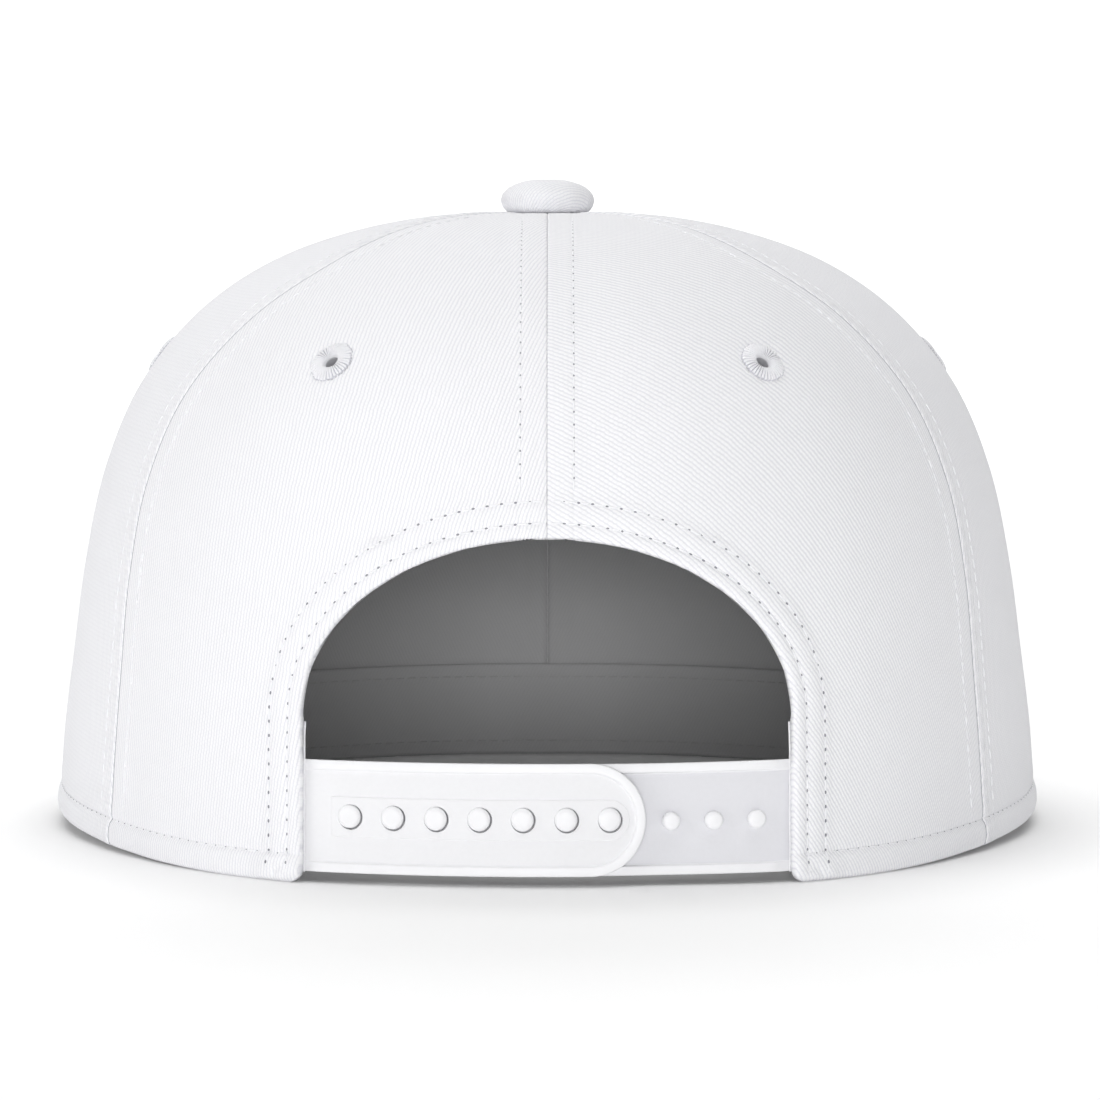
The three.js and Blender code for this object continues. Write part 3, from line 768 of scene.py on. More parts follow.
def makeSweatband():
    low, high = sweatband["foot"], sweatband["top"]
    r = sweatband["thickness"] / 2
    turn = np.linspace(-np.pi / 2, np.pi / 2, 7)
    inside = np.linspace(high - r, low + r, 28)
    # The band's section: round the upper edge, down its inner face, round the lower edge, up the back
    loop = [(high - r + r * math.cos(t), r + r * math.sin(t)) for t in turn]
    loop += [(h, 2 * r + float(sweatbandRelief(h))) for h in inside[1:-1]]
    loop += [(low + r - r * math.cos(t), r - r * math.sin(t)) for t in turn]
    loop += [(h, 0.0) for h in np.linspace(low + r, high - r, 5)[1:-1]]
    heights, into = np.array(loop).T
    edge = float(angleAt(opening["halfWidth"] + 2.2, climbAt(10.0)))
    angles = np.linspace(edge, 2 * np.pi - edge, 290)
    angle = np.broadcast_to(angles[:, None], (len(angles), len(loop)))
    height = np.broadcast_to(heights[None], angle.shape)
    slack = waves(angles * 95, 41, (19, 31, 12), 0.12)[:, None] * bump(height, 11, 10) * (into > r)
    points = sweatbandPoint(angle, height, into[None] + slack)
    uv = turnedUv(lengthsOf(points[:, 0])[:, None], lengthsOf(stack(heights, into))[None], sweatband["ribs"])
    piece = meshObject("clothSweatband", points, ringFaces(*angle.shape), greyTwill, uv.reshape(-1, 2))
    index = np.arange(angle.size).reshape(angle.shape)
    closeEnds(piece, [index[0, ::-1], index[-1]])
    return place(piece, "grey_twill", "sweatband")


facing = {"out": -0.1, "behind": 3.0, "thickness": 0.28, "depth": 1.66, "foot": 1.9, "top": 27.9}


def facingStrip(name, side):
    # The turned facing peeps out a little beyond the tab's edge
    heights = np.linspace(facing["foot"], facing["top"], 60)
    climbs = climbAt(heights)
    ends = smooth(heights, facing["foot"], facing["foot"] + 1.5)
    ends = ends * (1 - smooth(heights, facing["top"] - 2.5, facing["top"]))
    wander = waves(heights, 61 + side, (21, 13, 8), 0.06)
    edge = openingSide(heights) - (facing["out"] + wander) * ends
    across = np.array([0, 0.1, 0.25, 0.5, 1.0]) * facing["behind"]
    angle = side * angleAt(edge[:, None] + across[None], climbs[:, None])
    climb = climbs[:, None]
    lip = 0.1 * np.exp(-across / 0.1)[None]
    outer = crownPoint(angle, climb, 0 * angle - facing["depth"] - lip)
    inner = crownPoint(angle, climb, 0 * angle - facing["depth"] - facing["thickness"] + lip)
    uv = stack(across[None], heights[:, None])
    wallPiece("facing_" + name, outer, inner, uv, whiteTwill, "white_twill", flip=side < 0)


facingStrip("right", 1)
facingStrip("left", -1)
for name, panel in panels.items():
    liningPanel(name, panel)
makeSweatband()
print("lining and sweatband made")


# Stitches

def aroundRing(side, out, sides):
    # For each of many rings, the ways from its middle to its points
    turn = fullTurn(sides)[None, :, None]
    return side[:, None] * np.cos(turn) + out[:, None] * np.sin(turn)


def stitchMesh(name, starts, ends, normals, radius, material, slot):
    # Each stitch is a short strand that dives into the cloth at both ends
    profile = (
        # share of its length, rise and thickness as shares of its radius
        (0.0, -1.6, 0.35), (0.09, -0.25, 0.9), (0.3, 0.45, 1.0),
        (0.7, 0.45, 1.0), (0.91, -0.25, 0.9), (1.0, -1.6, 0.35),
    )
    along = ends - starts
    forward = unit(along)
    side = unit(np.cross(forward, normals))
    out = np.cross(side, forward)
    around = aroundRing(side, out, 6)
    rings = []
    for share, rise, size in profile:
        centres = starts + along * share + out * (rise * radius)
        rings.append(centres[:, None] + radius * size * around)
    return ringsPiece(name, rings, material, slot, True)


def pitMesh(name, spots, normals, alongs, radius, material, slot):
    # A small grey dome at each needle hole: the pit's painted shade
    side = unit(np.cross(alongs, normals))
    around = aroundRing(0.8 * side, 1.15 * alongs, 8)
    rings = []
    for reach, rise in ((1.0, 0.02), (0.55, 0.24), (0.12, 0.3)):
        rings.append((spots + normals * (rise * radius))[:, None] + reach * radius * around)
    return ringsPiece(name, rings, material, slot, False)


def evenly(points, pitch):
    # Points at an even pitch along a polyline, and the share of each on it
    run = lengthsOf(points)
    count = max(1, int(round(run[-1] / pitch)))
    return np.interp(np.linspace(0, run[-1], count + 1), run, np.arange(len(points)))


class StitchRows:
    # Collects rows of stitches and makes two meshes of them, thread and the painted shade of the pits
    def __init__(self):
        self.rows = []

    def add(self, surfaceAt, guide, pitch, gap=0.2):
        # guide is the row's parameters, and surfaceAt gives their points and normals
        points, _ = surfaceAt(guide)
        places = evenly(points, pitch)
        knots = stack(*(np.interp(places, np.arange(len(points)), column) for column in guide.T))
        spots, normals = surfaceAt(knots)
        trim = (spots[1:] - spots[:-1]) * (gap / 2)
        stitches = (spots[:-1] + trim, spots[1:] - trim, unit(normals[1:] + normals[:-1]))
        self.rows.append((*stitches, spots[1:-1], normals[1:-1], unit(spots[2:] - spots[:-2])))

    def make(self, name, radius, thread, slot, pitRadius=0, pit=None):
        columns = [np.concatenate(column) for column in zip(*self.rows)]
        stitchMesh(name, *columns[:3], radius, thread, slot)
        if pitRadius:
            pitMesh(name + "Holes", *columns[3:], pitRadius, pit, slot)


def onPanel(panel):
    def surfaceAt(guide):
        angle, climb = guide[:, 0], guide[:, 1]
        out = relief(panel, angle, climb)[0]
        return crownPoint(angle, climb, out), crownNormal(angle, climb)
    return surfaceAt


def panelStitches(panel, rows, hemRows, fineRows):
    surfaceAt = onPanel(panel)
    pitch = seamwork["stitchPitch"]
    low, high = math.radians(panel["start"]), math.radians(panel["end"])
    first, second = seamwork["openingRows"]
    hemClimb = float(climbAt(seamwork["hem"]))
    hemReach = float(reachPerAngle(panel, hemClimb))
    start, end = low + 0.6 / hemReach, high - 0.6 / hemReach
    tab = float(angleAt(opening["halfWidth"] + first, hemClimb))
    if panel["back"]:
        start, end = (tab, end) if panel["start"] == 0 else (start, -tab)
    angles = np.linspace(start, end, 120)
    hemRows.add(surfaceAt, np.stack([angles, np.full(120, hemClimb)], -1), pitch)
    lastClimb = float(climbAt(crown["height"] - 1.2))
    for seam, sign in ((panel["start"], 1), (panel["end"], -1)):
        overOpening = panel["back"] and seam == 0
        foot = climbAt(opening["top"] + second + 1.5) if overOpening else hemClimb
        climbs = np.linspace(float(foot), lastClimb, 160)
        away = sign * seamwork["topstitch"] / reachPerAngle(panel, climbs)
        keep = np.abs(away) < (high - low) * 0.45
        guide = np.stack([seamAt(seam, climbs) + away, climbs], -1)[keep]
        (hemRows if overOpening else fineRows).add(surfaceAt, guide, pitch)
    if panel["back"]:
        side = 1 if panel["start"] == 0 else -1
        # The rows run straight down past the tabs' rounded corners
        edgeFlat, edgeClimb, straightEdge = openingEdge(160, 0)
        tangent = unit(np.gradient(straightEdge, axis=0))
        normal = crownNormal(angleAt(edgeFlat[:, 0], edgeClimb), edgeClimb)
        outward = unit(np.cross(normal, tangent))
        outward *= np.sign((outward * np.array([1, 0, 0.6])).sum(1, keepdims=True))
        for distance in (first, second):
            row = straightEdge + outward * distance
            row = row[(row[:, 0] > 0.4) & (row[:, 2] > 0.8)]
            climbs = climbAt(row[:, 2])
            guide = np.stack([side * angleAt(row[:, 0], climbs), climbs], -1)
            rows.add(surfaceAt, guide, pitch)


openingStitches, hemStitches, seamStitches = StitchRows(), StitchRows(), StitchRows()
for panel in panels.values():
    panelStitches(panel, openingStitches, hemStitches, seamStitches)
for name, rows in (("opening", openingStitches), ("hem", hemStitches)):
    radius, hole = seamwork[name + "Thread"]
    rows.make(name + "Stitches", radius, threadFinish, "white_thread", hole, pitShade)
seamStitches.make("seamStitches", seamwork["seamThread"], threadFinish, "white_thread")


def seamDitchShade(name, seam):
    # A thin dark strip at the bottom of a side seam's ditch: the ditch's painted shade
    climbs = np.linspace(float(climbAt(0.3)), float(climbAt(crown["height"] - 1.0)), 300)
    perAngle = reachPerAngle(panels["back_right"], climbs)
    across = np.array([-0.2, 0.0, 0.2])
    angle = seamAt(seam, climbs)[:, None] + across / perAngle[:, None]
    climb = climbs[:, None]
    panel = panels["back_right" if seam > 0 else "back_left"]
    beside = relief(panel, seamAt(seam, climbs) - math.copysign(0.7, seam) / perAngle, climbs)[0]
    points = crownPoint(angle, climb, beside[:, None] - np.array([0.14, 0.06, 0.14]))
    place(meshObject("seamDitchShade_" + name, points, gridFaces(*angle.shape), ditchShade), "white_twill")


seamDitchShade("right", crown["seams"][1])
seamDitchShade("left", -crown["seams"][1])

bandRows = StitchRows()
bandEdge = float(angleAt(opening["halfWidth"] + 3.2, climbAt(10.0)))
for rowHeight in (sweatband["top"] - sweatband["topRow"], sweatband["foot"] + sweatband["footRow"]):
    bandAngles = np.linspace(bandEdge, 2 * np.pi - bandEdge, 500)

    def onBand(guide, rowHeight=rowHeight):
        into = sweatband["thickness"] + sweatbandRelief(rowHeight)
        points = sweatbandPoint(guide[:, 0], rowHeight, into)
        return points, -crownNormal(guide[:, 0], climbAt(rowHeight, guide[:, 0]))

    bandRows.add(onBand, bandAngles[:, None], sweatband["pitch"])
bandRows.make("sweatbandStitches", sweatband["thread"], greyThread, "grey_twill")
print("stitches made")


# Eyelets and button

button = {"radius": 9.0, "height": 6.65, "foot": -0.5, "shank": 3.0, "sides": 120, "ribs": 38}


def makeEyelet(name, panel):
    # Satin stitches laid side by side over the cut edge, each thread a ridge that runs outwards
    middle, climb, centre, normal, along, up = eyeletFrame(panel)
    centre = centre + normal * float(relief(panel, np.array([middle]), np.array([climb]))[0][0])
    hole, radius = eyelet["hole"], eyelet["radius"]
    profile = [
        # out from the axis and up from the cloth, from the inner rim through the hole to the outer rim
        (hole + 2.2, -4.1), (hole + 1.9, -4.5), (hole + 1.0, -4.6), (hole + 0.3, -4.2), (hole - 0.35, -2.2),
        (hole - 0.3, -1.1), (hole, -0.35), (hole + 0.07, 0.12), (hole + 0.3, 0.5), (hole + 0.75, 0.72),
        (hole + 1.3, 0.74), (hole + 1.85, 0.64), (radius - 0.38, 0.46), (radius - 0.12, 0.26), (radius, 0.02),
        (radius - 0.1, -0.5), (hole + 1.5, -0.8), (hole + 1.5, -3.6),
    ]
    sides = eyelet["threads"] * 8
    turn = fullTurn(sides)
    mix = np.random.default_rng(int(abs(panel["start"])) + 2)
    uneven = np.repeat(mix.uniform(-0.16, 0.12, eyelet["threads"]), 8)
    sway = np.repeat(mix.uniform(-0.25, 0.25, eyelet["threads"]), 8) / eyelet["threads"]
    crease = (0.5 + 0.5 * np.cos(eyelet["threads"] * turn)) ** 2
    rings = []
    for k, (reach, rise) in enumerate(profile):
        seen = 1.0 if 6 <= k <= 14 else 0.0
        outer = reach + (uneven if 12 <= k <= 14 else 0) - seen * crease * (0.12 if k >= 12 else 0.02)
        bend = turn + (sway * seen * (reach - hole))
        x, y = outer * np.cos(bend), outer * np.sin(bend)
        height = rise - 0.38 * seen * crease - x * x / 170 - y * y / 130
        rings.append(centre + along * x[:, None] + up * y[:, None] + normal * height[:, None])
    index = np.arange(len(profile) * sides).reshape(-1, sides)
    right = np.roll(index, -1, axis=1)
    quads = np.stack([index, right, np.roll(right, -1, axis=0), np.roll(index, -1, axis=0)], -1).reshape(-1, 4)
    piece = meshObject("satinEyelet_" + name, np.stack(rings), quads[:, ::-1], satinFinish)
    # The stitches on the inside are the lining's grey
    for finish in (greyThread, creaseFinish, boreFinish):
        piece.data.materials.append(finish)
    # Painted shade: the crease colour along the sides of each thread and round the outer rim, the bore colour
    # down the hole
    kinds = np.array([1, 1, 1, 3, 3, 3] + [0] * 7 + [2, 1, 1, 1, 1])[:, None] * np.ones(sides, int)
    kinds[8:13, 0::8] = kinds[8:13, 7::8] = 2
    piece.data.polygons.foreach_set("material_index", kinds.ravel().astype(np.int32))
    return place(piece, "white_thread", "eyelet_" + name)


def makeButton():
    # Twill drawn tight over a domed metal blank, gathered under its rim
    shares = (
        # out and up, from the top to the middle of the underside
        (0.2, 0.997), (0.38, 0.98), (0.55, 0.93), (0.7, 0.86), (0.82, 0.775), (0.91, 0.67), (0.97, 0.56),
        (1.0, 0.42), (0.985, 0.3), (0.955, 0.2), (0.91, 0.12), (0.85, 0.05), (0.76, 0.01), (0.5, 0.0),
    )
    sides = button["sides"]
    turn = fullTurn(sides)
    gathers = waves(turn * 10, 51, (2.9, 4.1, 1.7), 0.16)
    rings = []
    foot = crown["height"] + button["foot"]
    for out, up in shares:
        loose = (1 - up) ** 2
        radius = button["radius"] * out + 1.6 * gathers * loose
        dip = 0.05 * waves(turn * 10, 52, (20, 31), 1.0) * out
        rings.append(stack(radius * np.cos(turn), radius * np.sin(turn), foot + button["height"] * up + dip))
    shank = button["shank"]
    rings.append(stack(shank * np.cos(turn), shank * np.sin(turn), foot - shank))
    points = np.stack(rings)
    # The cloth's way from the top over the edge and in under it
    summit = np.tile([0, 0, foot + button["height"]], (1, sides, 1))
    run = np.cumsum(np.linalg.norm(np.diff(points, axis=0, prepend=summit), axis=2), axis=0)
    reach = run / np.maximum(np.hypot(points[..., 0], points[..., 1]), 1e-6)
    uv = turnedUv(points[..., 0] * reach, points[..., 1] * reach, button["ribs"])
    faces = ringFaces(len(rings), sides)[:, ::-1]
    piece = meshObject("coveredButton", points, faces, whiteTwill, uv.reshape(-1, 2))
    index = np.arange(points[..., 0].size).reshape(-1, sides)
    closeEnds(piece, [index[0], index[-1, ::-1]])
    return place(piece, "white_twill", "top_button")


for name, panel in panels.items():
    makeEyelet(name, panel)
makeButton()
print("eyelets and button made")


# Brim

brim = {
    "reach": 70.0,
    "corner": 115.0,  # degrees from the back at which it meets the hem
    "fullness": 2.3,
    "under": 1.4,
    "upper": 1.9,
    "joint": 0.1,
    "tuck": 2.6,
    "edgeRadius": 0.9,
    "rows": 8,
    "firstRow": 3.5,
    "rowStep": 7.2,
    "pitch": 2.6,
    "thread": 0.14,
    "needleHole": 0.2,
    "ribs": 62,  # degrees that its twill is turned
    "around": 201,  # points of its mesh round the edge
    "inwards": 56,
}


def brimOutline(count):
    corner = crownSurface(math.radians(brim["corner"]), 0.0)
    turn = np.linspace(0, np.pi, count)
    n = brim["fullness"]
    x = corner[0] * np.sign(np.cos(turn)) * np.abs(np.cos(turn)) ** (2 / n)
    front = crown["frontDepth"] + brim["reach"]
    return np.stack([x, corner[1] + (front - corner[1]) * np.sin(turn) ** (2 / n)], -1)


def brimInner(outline):
    # The inner edge lies under the crown's hem, at the angle of each outline point
    corner = math.radians(brim["corner"])
    run = lengthsOf(outline)
    angle = corner + (2 * np.pi - 2 * corner) * run / run[-1]
    return crownPoint(angle, climbAt(0.0, angle), 0 * angle - brim["tuck"])[:, :2]


def brimGrid():
    outline = brimOutline(2400)
    run = lengthsOf(outline)
    places = np.linspace(0, run[-1], brim["around"])
    outline = stack(*(np.interp(places, run, column) for column in outline.T))
    inner = brimInner(outline)
    reach = np.linalg.norm(inner - outline, axis=1)
    near = nearEdge * np.minimum(1, reach[:, None] / (1.5 * nearEdge[-1]))
    rest = near[:, -1:] + (reach[:, None] - near[:, -1:]) * np.linspace(0, 1, brim["inwards"])[None, 1:]
    inwards = np.concatenate([near, rest], 1)
    way = (inner - outline) / reach[:, None]
    grid = outline[:, None] + way[:, None] * inwards[..., None]
    distance = np.empty(inwards.shape)
    for k in range(len(grid)):
        gap = grid[k][:, None] - outline[None]
        distance[k] = np.sqrt((gap ** 2).sum(-1).min(1))
    return grid, distance


def brimRelief(distance):
    rows = brim["firstRow"] + brim["rowStep"] * np.arange(brim["rows"])
    total = 0.12 * np.ones_like(distance)
    for row in rows:
        total = total - 0.2 * bump(distance, row, 1.0)
    return total


def brimHalf(name, node, low, high, material, slot, topSide):
    grid, distance = brimGrid()
    shown = brimRelief(distance) - roundOff(distance, brim["edgeRadius"])
    z = high + shown if topSide else low - np.minimum(shown, 0)
    other = np.full_like(z, low if topSide else high)
    face = np.concatenate([grid, z[..., None]], -1)
    back = np.concatenate([grid, other[..., None]], -1)
    upper, lower = (face, back) if topSide else (back, face)
    uv = turnedUv(grid[..., 0], grid[..., 1], brim["ribs"])
    wallPiece(name, upper, lower, uv, material, slot, node, flip=True)


def brimStitches(level):
    rows = StitchRows()
    outline = brimOutline(1400)
    tangent = unit(np.gradient(outline, axis=0))
    inward = stack(-tangent[:, 1], tangent[:, 0])
    cornerY = crownSurface(math.radians(brim["corner"]), 0.0)[1]
    for k in range(brim["rows"]):
        away = brim["firstRow"] + brim["rowStep"] * k
        row = outline + inward * away
        clear = np.array([np.sqrt(((outline - point) ** 2).sum(1).min()) > away - 0.15 for point in row])
        radius = np.hypot(row[:, 0] / crown["halfWidth"], row[:, 1] / crown["frontDepth"])
        row = row[clear & (radius > 1.012) & (row[:, 1] > cornerY)]
        if len(row) < 20:
            continue
        surface = float(brimRelief(np.array([away]))[0])

        def onBrim(guide, surface=surface):
            return stack(*guide.T, level + surface), np.tile([0.0, 0.0, 1.0], (len(guide), 1))

        rows.add(onBrim, row, brim["pitch"])
    rows.make("brimStitches", brim["thread"], threadFinish, "white_thread", brim["needleHole"], pitShade)


middleLevel = brim["under"] + brim["joint"]
topLevel = brim["under"] + 0.3 + brim["upper"]
brimHalf("brimTop", "brim_upper", middleLevel, topLevel, whiteTwill, "white_twill", True)
brimHalf("brimUnderside", "brim_underside", 0.05, brim["under"], greyTwill, "grey_twill", False)
brimStitches(topLevel)
print("brim made")


# Snap closure

strap = {
    "width": 19.3,
    "raise": 1.9,
    "thickness": 0.9,
    "slack": 0.15,
    "bow": 130.0,
    "tail": 10.0,
    "rim": 1.65,
    "rimHeight": 0.55,
    "rimStand": 0.75,  # with its pressed-up crest
    "rib": 6.9,
    "ribHeight": 0.35,
    "holes": 7,
    "pitch": 7.64,
    "lastHole": 11.1,
    "tipMargin": 6.2,
    "holeRadius": 2.15,
    "leadIn": 0.1,
    "freePegs": 3,
    "freePitch": 7.45,
    "freeStart": 10.9,
    "freeDrop": 0.4,  # the free pegs sit this far under the middle line
    "pegRadius": 2.0,  # heads that fill the holes
    "pegShift": (-0.15, 0.12),  # from the middle of its hole
    "freePegRadius": 1.6,
    "pegShank": 1.15,
    "soft": 0.28,  # rounding of the moulded edges
}
strapMiddle = strap["raise"] + strap["width"] / 2
strapStack = strap["thickness"] + 0.3 + strap["rimHeight"]
strapTip = strap["lastHole"] + strap["tipMargin"]
holeSpots = strap["lastHole"] - strap["pitch"] * np.arange(strap["holes"])
freeSpots = strap["lastHole"] + strap["freeStart"] + strap["freePitch"] * np.arange(strap["freePegs"])


def strapSurface(x, z):
    # The straps follow the crown behind the tabs and bow between them
    climb = climbAt(z)
    side = np.maximum(np.abs(x), opening["halfWidth"])
    held = crownPoint(angleAt(side, climb), climb, 0 * side - lining["depth"] - strap["slack"])
    free = np.minimum(1, np.abs(x) / opening["halfWidth"])
    bow = opening["halfWidth"] ** 2 * (1 - free ** 2) / (2 * strap["bow"])
    return stack(held[..., 0] * free * np.sign(x), held[..., 1] - bow, z)


def strapBent(flat, sink):
    # flat holds x, height over the strap's middle line and depth out of the strap's face
    x, z, out = flat[..., 0], strapMiddle + flat[..., 1], flat[..., 2]
    step = 0.4
    along = strapSurface(x + step, z) - strapSurface(x - step, z)
    up = strapSurface(x, z + step) - strapSurface(x, z - step)
    return strapSurface(x, z) + unit(np.cross(along, up)) * (out - sink(x))[..., None]


def pegSink(x):
    return strapStack * (1 - smooth(x, strapTip, opening["halfWidth"]))


def level(x):
    return 0 * x


def bandRing(start, tip, half, inset, cornerRadius):
    # The band's outline drawn in by an inset: straight edges, a round tip and a square start
    straight = np.linspace(0, 1, max(4, int((tip - start) / 1.2)))
    centre = tip - half
    h = half - inset
    left = min(start + inset, centre)
    top = stack(left + (centre - left) * straight, h)
    turn = np.linspace(np.pi / 2, -np.pi / 2, 49)[1:-1]
    arc = stack(centre + h * np.cos(turn), h * np.sin(turn))
    bottom = top[::-1] * np.array([1, -1])
    c = max(cornerRadius - inset, 0.0)
    cornerTurn = quarter(7)
    square = stack(left + c - c * np.sin(cornerTurn), h - c + c * np.cos(cornerTurn))[::-1]
    side = stack(left, np.linspace(c - h, h - c, 11)[1:-1])
    top[:, 0] = np.maximum(top[:, 0], left + c)
    bottom[:, 0] = np.maximum(bottom[:, 0], left + c)
    lower = square[::-1] * np.array([1, -1])
    return np.concatenate([top, arc, bottom, lower, side, square])


def bandSolid(start, tip, half, section, cornerRadius=0.6):
    # Rings of one outline, from the middle of the back round the edge to the middle of the face
    rings = [stack(*bandRing(start, tip, half, inset, cornerRadius).T, height) for inset, height in section]
    points = np.stack(rings)
    return points.reshape(-1, 3), ringFaces(*points.shape[:2])


def strapSection(half):
    s, rim, t = strap["soft"], strap["rim"], strap["thickness"]
    rise = strap["rimStand"]
    turn = quarter(5)
    section = [(half, -t), (half * 0.6, -t), (s * 1.5, -t)]
    section += [(s - s * math.sin(k), -t + s - s * math.cos(k)) for k in turn]
    section += [(s - s * math.cos(k), rise - s + s * math.sin(k)) for k in turn]
    section += [(rim * 0.5, rise + 0.02)]
    section += [(rim - s + s * math.sin(k), rise - s + s * math.cos(k)) for k in turn]
    section += [(rim + 0.12 + s * (1 - math.cos(k)), s * 0.4 * (1 - math.sin(k))) for k in turn]
    section += [(inset, 0.0) for inset in np.linspace(rim + 0.8, half, 9)]
    return section


def ribSection(half):
    s, rise = 0.2, strap["ribHeight"]
    turn = quarter(5)
    section = [(half, -0.4), (0.05, -0.4), (0.0, -0.2)]
    section += [(s - s * math.cos(k), rise - s + s * math.sin(k)) for k in turn]
    section += [(inset, rise) for inset in np.linspace(0.5, half, 6)]
    return section


def lathed(section, sides, x, y=0.0):
    turn = fullTurn(sides)
    rings = [stack(x + r * np.cos(turn), y + r * np.sin(turn), h) for r, h in section]
    return np.concatenate(rings), ringFaces(len(section), sides)


def pegSection(radius, top):
    # A shank, a shoulder and a low domed head
    skirt, dome, foot, shank = 0.35, 0.8, -0.5, strap["pegShank"]
    shoulder = top - skirt - dome
    section = [(0.05, foot), (shank, foot), (shank, shoulder)]
    section += [(radius - 0.12, shoulder), (radius, shoulder + 0.12)]
    for turn in quarter(8):
        out = radius * (0.55 + 0.45 * math.cos(turn))
        section.append((out, shoulder + skirt + dome * math.sin(turn) ** 0.9))
    section += [(radius * 0.3, top + 0.05), (0.02, top + 0.07)]
    return section


def joined(parts):
    points, faces, offset = [], [], 0
    for part, quads in parts:
        points.append(part)
        faces.append(quads + offset)
        offset += len(part)
    return np.concatenate(points), np.concatenate(faces)


def closeOpen(obj):
    with editing(obj) as work:
        bmesh.ops.holes_fill(work, edges=[e for e in work.edges if e.is_boundary])
        bmesh.ops.remove_doubles(work, verts=work.verts, dist=1e-7)
        bmesh.ops.recalc_face_normals(work, faces=work.faces)


def combine(obj, other, operation):
    # Joins a second closed mesh to the first, or cuts it out
    closeOpen(other)
    step = obj.modifiers.new(operation.lower(), "BOOLEAN")
    step.operation = operation
    step.solver = "EXACT"
    step.object = other
    bpy.context.view_layer.update()
    shape = obj.evaluated_get(bpy.context.evaluated_depsgraph_get())
    done = bpy.data.meshes.new_from_object(shape)
    obj.modifiers.clear()
    obj.data = done
    bpy.data.objects.remove(other)


def holeCutter():
    # Round holes through the strap, with a lead-in at the mouth
    radius, lead, face, beyond = strap["holeRadius"], strap["leadIn"], strap["ribHeight"], 3.0
    section = [
        # out from the hole's axis and up from the strap's field
        (0.02, -beyond), (radius, -beyond), (radius, face - lead),
        (radius + lead, face + 0.02), (radius + lead, beyond), (0.02, beyond),
    ]
    return meshObject("cutter", *joined([lathed(section, 40, x) for x in holeSpots]), plasticFinish)


def mattShadedField(obj, finish):
    # The recessed field and the rib's top take the matt finish, whose darker colour is partly painted shade
    mesh = obj.data
    mesh.materials.clear()
    mesh.materials.append(plasticFinish)
    mesh.materials.append(finish)
    centres, normals = np.empty((2, len(mesh.polygons) * 3), np.float32)
    mesh.polygons.foreach_get("center", centres)
    mesh.polygons.foreach_get("normal", normals)
    height = centres[2::3] * 1000
    flat = (height > -0.05) & (height < strap["ribHeight"] + 0.05) & (normals[2::3] > 0.9)
    mesh.polygons.foreach_set("material_index", flat.astype(np.int32))


def bendObject(obj, mirrored, sink):
    mesh = obj.data
    co = np.empty(len(mesh.vertices) * 3, np.float32)
    mesh.vertices.foreach_get("co", co)
    flat = co.reshape(-1, 3).astype(float) * 1000 - np.array([0, axisY, 0])
    if mirrored:
        flat[:, 0] *= -1
        flat[:, 1] *= -1
    # The rim fades where the strap slips in behind the tab
    tucked = smooth(np.abs(flat[:, 0]), opening["halfWidth"] - 1.3, opening["halfWidth"] - 0.3)
    flat[:, 2] = np.where(flat[:, 2] > 0, flat[:, 2] * (1 - 0.9 * tucked), flat[:, 2])
    bent = (strapBent(flat, sink) + np.array([0, axisY, 0])) / 1000
    mesh.vertices.foreach_set("co", bent.astype(np.float32).ravel())
    mesh.update()


def smoothByAngle(obj, degrees):
    obj.data.polygons.foreach_set("use_smooth", np.full(len(obj.data.polygons), True))
    with editing(obj) as work:
        for edge in work.edges:
            if len(edge.link_faces) == 2:
                edge.smooth = edge.calc_face_angle(0) < math.radians(degrees)


def makeHoledStrap():
    half = strap["width"] / 2
    start = -(opening["halfWidth"] + strap["tail"])
    base = bandSolid(start, strapTip, half, strapSection(half))
    piece = meshObject("snapStrapHoled", *base, plasticFinish)
    closeOpen(piece)
    reach = strap["rib"] / 2
    rib = bandSolid(holeSpots[-1] - reach, strap["lastHole"] + reach, reach, ribSection(reach), 0.35)
    combine(piece, meshObject("rib", *rib, plasticFinish), "UNION")
    combine(piece, holeCutter(), "DIFFERENCE")
    mattShadedField(piece, fieldMattShade)
    bendObject(piece, False, level)
    smoothByAngle(piece, 50)
    return place(piece, "white_plastic", "snap_strap_holed")


def makePeggedStrap():
    half = strap["width"] / 2
    start = -(opening["halfWidth"] + strap["tail"])
    tip = strap["freePegRadius"] + strap["rim"] - holeSpots[-1]
    parts = [bandSolid(start, tip, half, strapSection(half))]
    top = strapStack + strap["ribHeight"] + 0.75
    right, up = strap["pegShift"]
    for x in holeSpots:
        parts.append(lathed(pegSection(strap["pegRadius"], top), 40, -x - right, -up))
    for x in freeSpots:
        parts.append(lathed(pegSection(strap["freePegRadius"], 1.7), 40, -x, strap["freeDrop"]))
    piece = meshObject("snapStrapPegged", *joined(parts), plasticFinish)
    closeOpen(piece)
    mattShadedField(piece, peggedFieldShade)
    bendObject(piece, True, pegSink)
    smoothByAngle(piece, 50)
    return place(piece, "white_plastic", "snap_strap_pegged")


makeHoledStrap()
makePeggedStrap()
print("snap closure made")

# Stage, light and camera

view = {
    "distance": 800.0,
    "elevation": 7.7,  # degrees above the floor, seen from the crown's foot
    "pitch": 4.03,
    "lens": 133.7,  # for a 36 mm sensor
    "sideways": -0.5,
}


def makeCamera():
    data = bpy.data.cameras.new("camera")
    data.lens = view["lens"]
    data.sensor_width = 36
    data.clip_end = 100
    camera = addObject("camera", data)
    e = math.radians(view["elevation"])
    y = axisY - view["distance"] * math.cos(e)
    camera.location = (-view["sideways"] / 1000, y / 1000, view["distance"] * math.sin(e) / 1000)
    camera.rotation_euler = (math.radians(90 - view["pitch"]), 0, 0)
    bpy.context.scene.camera = camera


# Painted glow of the paper: least within this reach of the crown's axis, in metres, as a painted shadow round
# the cap, and in full at so many times the reach
glow = {"reach": 0.1, "full": 1.3, "least": 0.04, "most": 0.16}


sweep = {"near": -4.0, "bend": 2.2, "radius": 1.2, "height": 6.0, "halfWidth": 7.0}  # metres


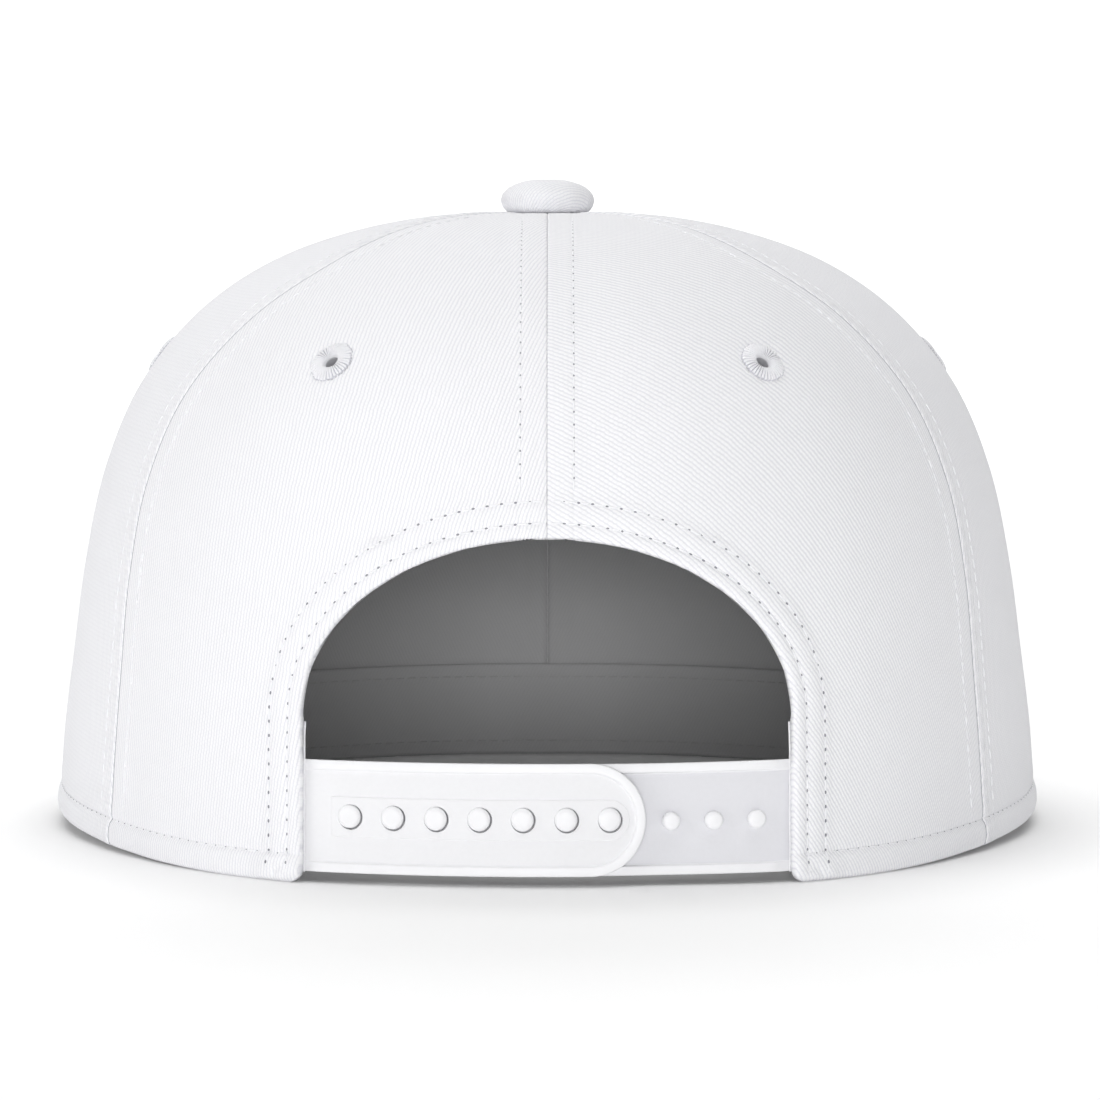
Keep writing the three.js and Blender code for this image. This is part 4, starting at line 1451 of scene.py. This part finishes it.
def makeStage():
    r, bend = sweep["radius"], sweep["bend"]
    profile = [(sweep["near"], 0.0)]
    profile += [(bend + r * math.sin(turn), r - r * math.cos(turn)) for turn in quarter(25)]
    profile += [(bend + r, sweep["height"])]
    sides = (-sweep["halfWidth"], sweep["halfWidth"])
    points = [(x, y - axisY / 1000, z) for y, z in profile for x in sides]
    faces = [(2 * k, 2 * k + 1, 2 * k + 3, 2 * k + 2) for k in range(len(profile) - 1)]
    # Matt white paper with a painted glow of its own
    paper = plainMaterial("matt white backdrop with painted glow", "#fbfbfb", 0.95, 1.45, 0.1, 4.0, 0.0)
    shader = next(node for node in paper.node_tree.nodes if node.type == "BSDF_PRINCIPLED")
    shader.inputs["Emission Color"].default_value = (1, 1, 1, 1)
    # The glow is least near the crown's axis: painted shade on the floor round and under the cap
    where = addNode(paper.node_tree, "ShaderNodeTexCoord")
    shift = {"Location": (0, -axisY / 1000 / glow["reach"], 0), "Scale": (1 / glow["reach"],) * 3}
    scaled = addNode(paper.node_tree, "ShaderNodeMapping", shift, {"Vector": where.outputs["Object"]})
    away = addNode(paper.node_tree, "ShaderNodeVectorMath", {"operation": "LENGTH"}, {0: scaled.outputs[0]})
    levels = {"From Min": 1.0, "From Max": glow["full"], "To Min": glow["least"], "To Max": glow["most"]}
    strength = addNode(paper.node_tree, "ShaderNodeMapRange", levels, {"Value": away.outputs["Value"]})
    paper.node_tree.links.new(strength.outputs[0], shader.inputs["Emission Strength"])
    meshObject("paperSweep", np.array(points) * 1000, faces, paper)


softboxes = {
    # name: power in watts, width and height, place and aim in metres about the crown's foot
    "frontSoftbox": (9.7, 0.6, 0.26, (0.0, -1.6, 0.15), (0, 0, 0.04)),
    "leftSoftbox": (6.2, 1.0, 0.8, (-1.5, -0.8, 0.6), (0, 0, 0.06)),
    "overheadSoftbox": (32.0, 2.5, 2.5, (0.0, 0.0, 2.2), (0, 0.01, 0)),
    "backdropSoftbox": (38.0, 2.4, 1.6, (0.0, 2.7, 2.2), (0, 2.9, 0)),
}
roomLight = 0.16


def areaLight(name, power, width, height, spot, target):
    data = bpy.data.lights.new(name, "AREA")
    data.energy = power
    data.shape = "RECTANGLE"
    data.size = width
    data.size_y = height
    light = addObject(name, data)
    light.location = (spot[0], spot[1] + axisY / 1000, spot[2])
    light.rotation_euler = (Vector(target) - Vector(spot)).to_track_quat("-Z", "Y").to_euler()


def makeLight():
    world = bpy.data.worlds.new("soft room")
    bpy.context.scene.world = world
    world.use_nodes = True
    background = world.node_tree.nodes["Background"]
    background.inputs[0].default_value = (1, 1, 1, 1)
    background.inputs[1].default_value = roomLight
    for name, settings in softboxes.items():
        areaLight(name, *settings)


makeCamera()
makeStage()
makeLight()
bpy.context.scene.view_settings.view_transform = "Standard"
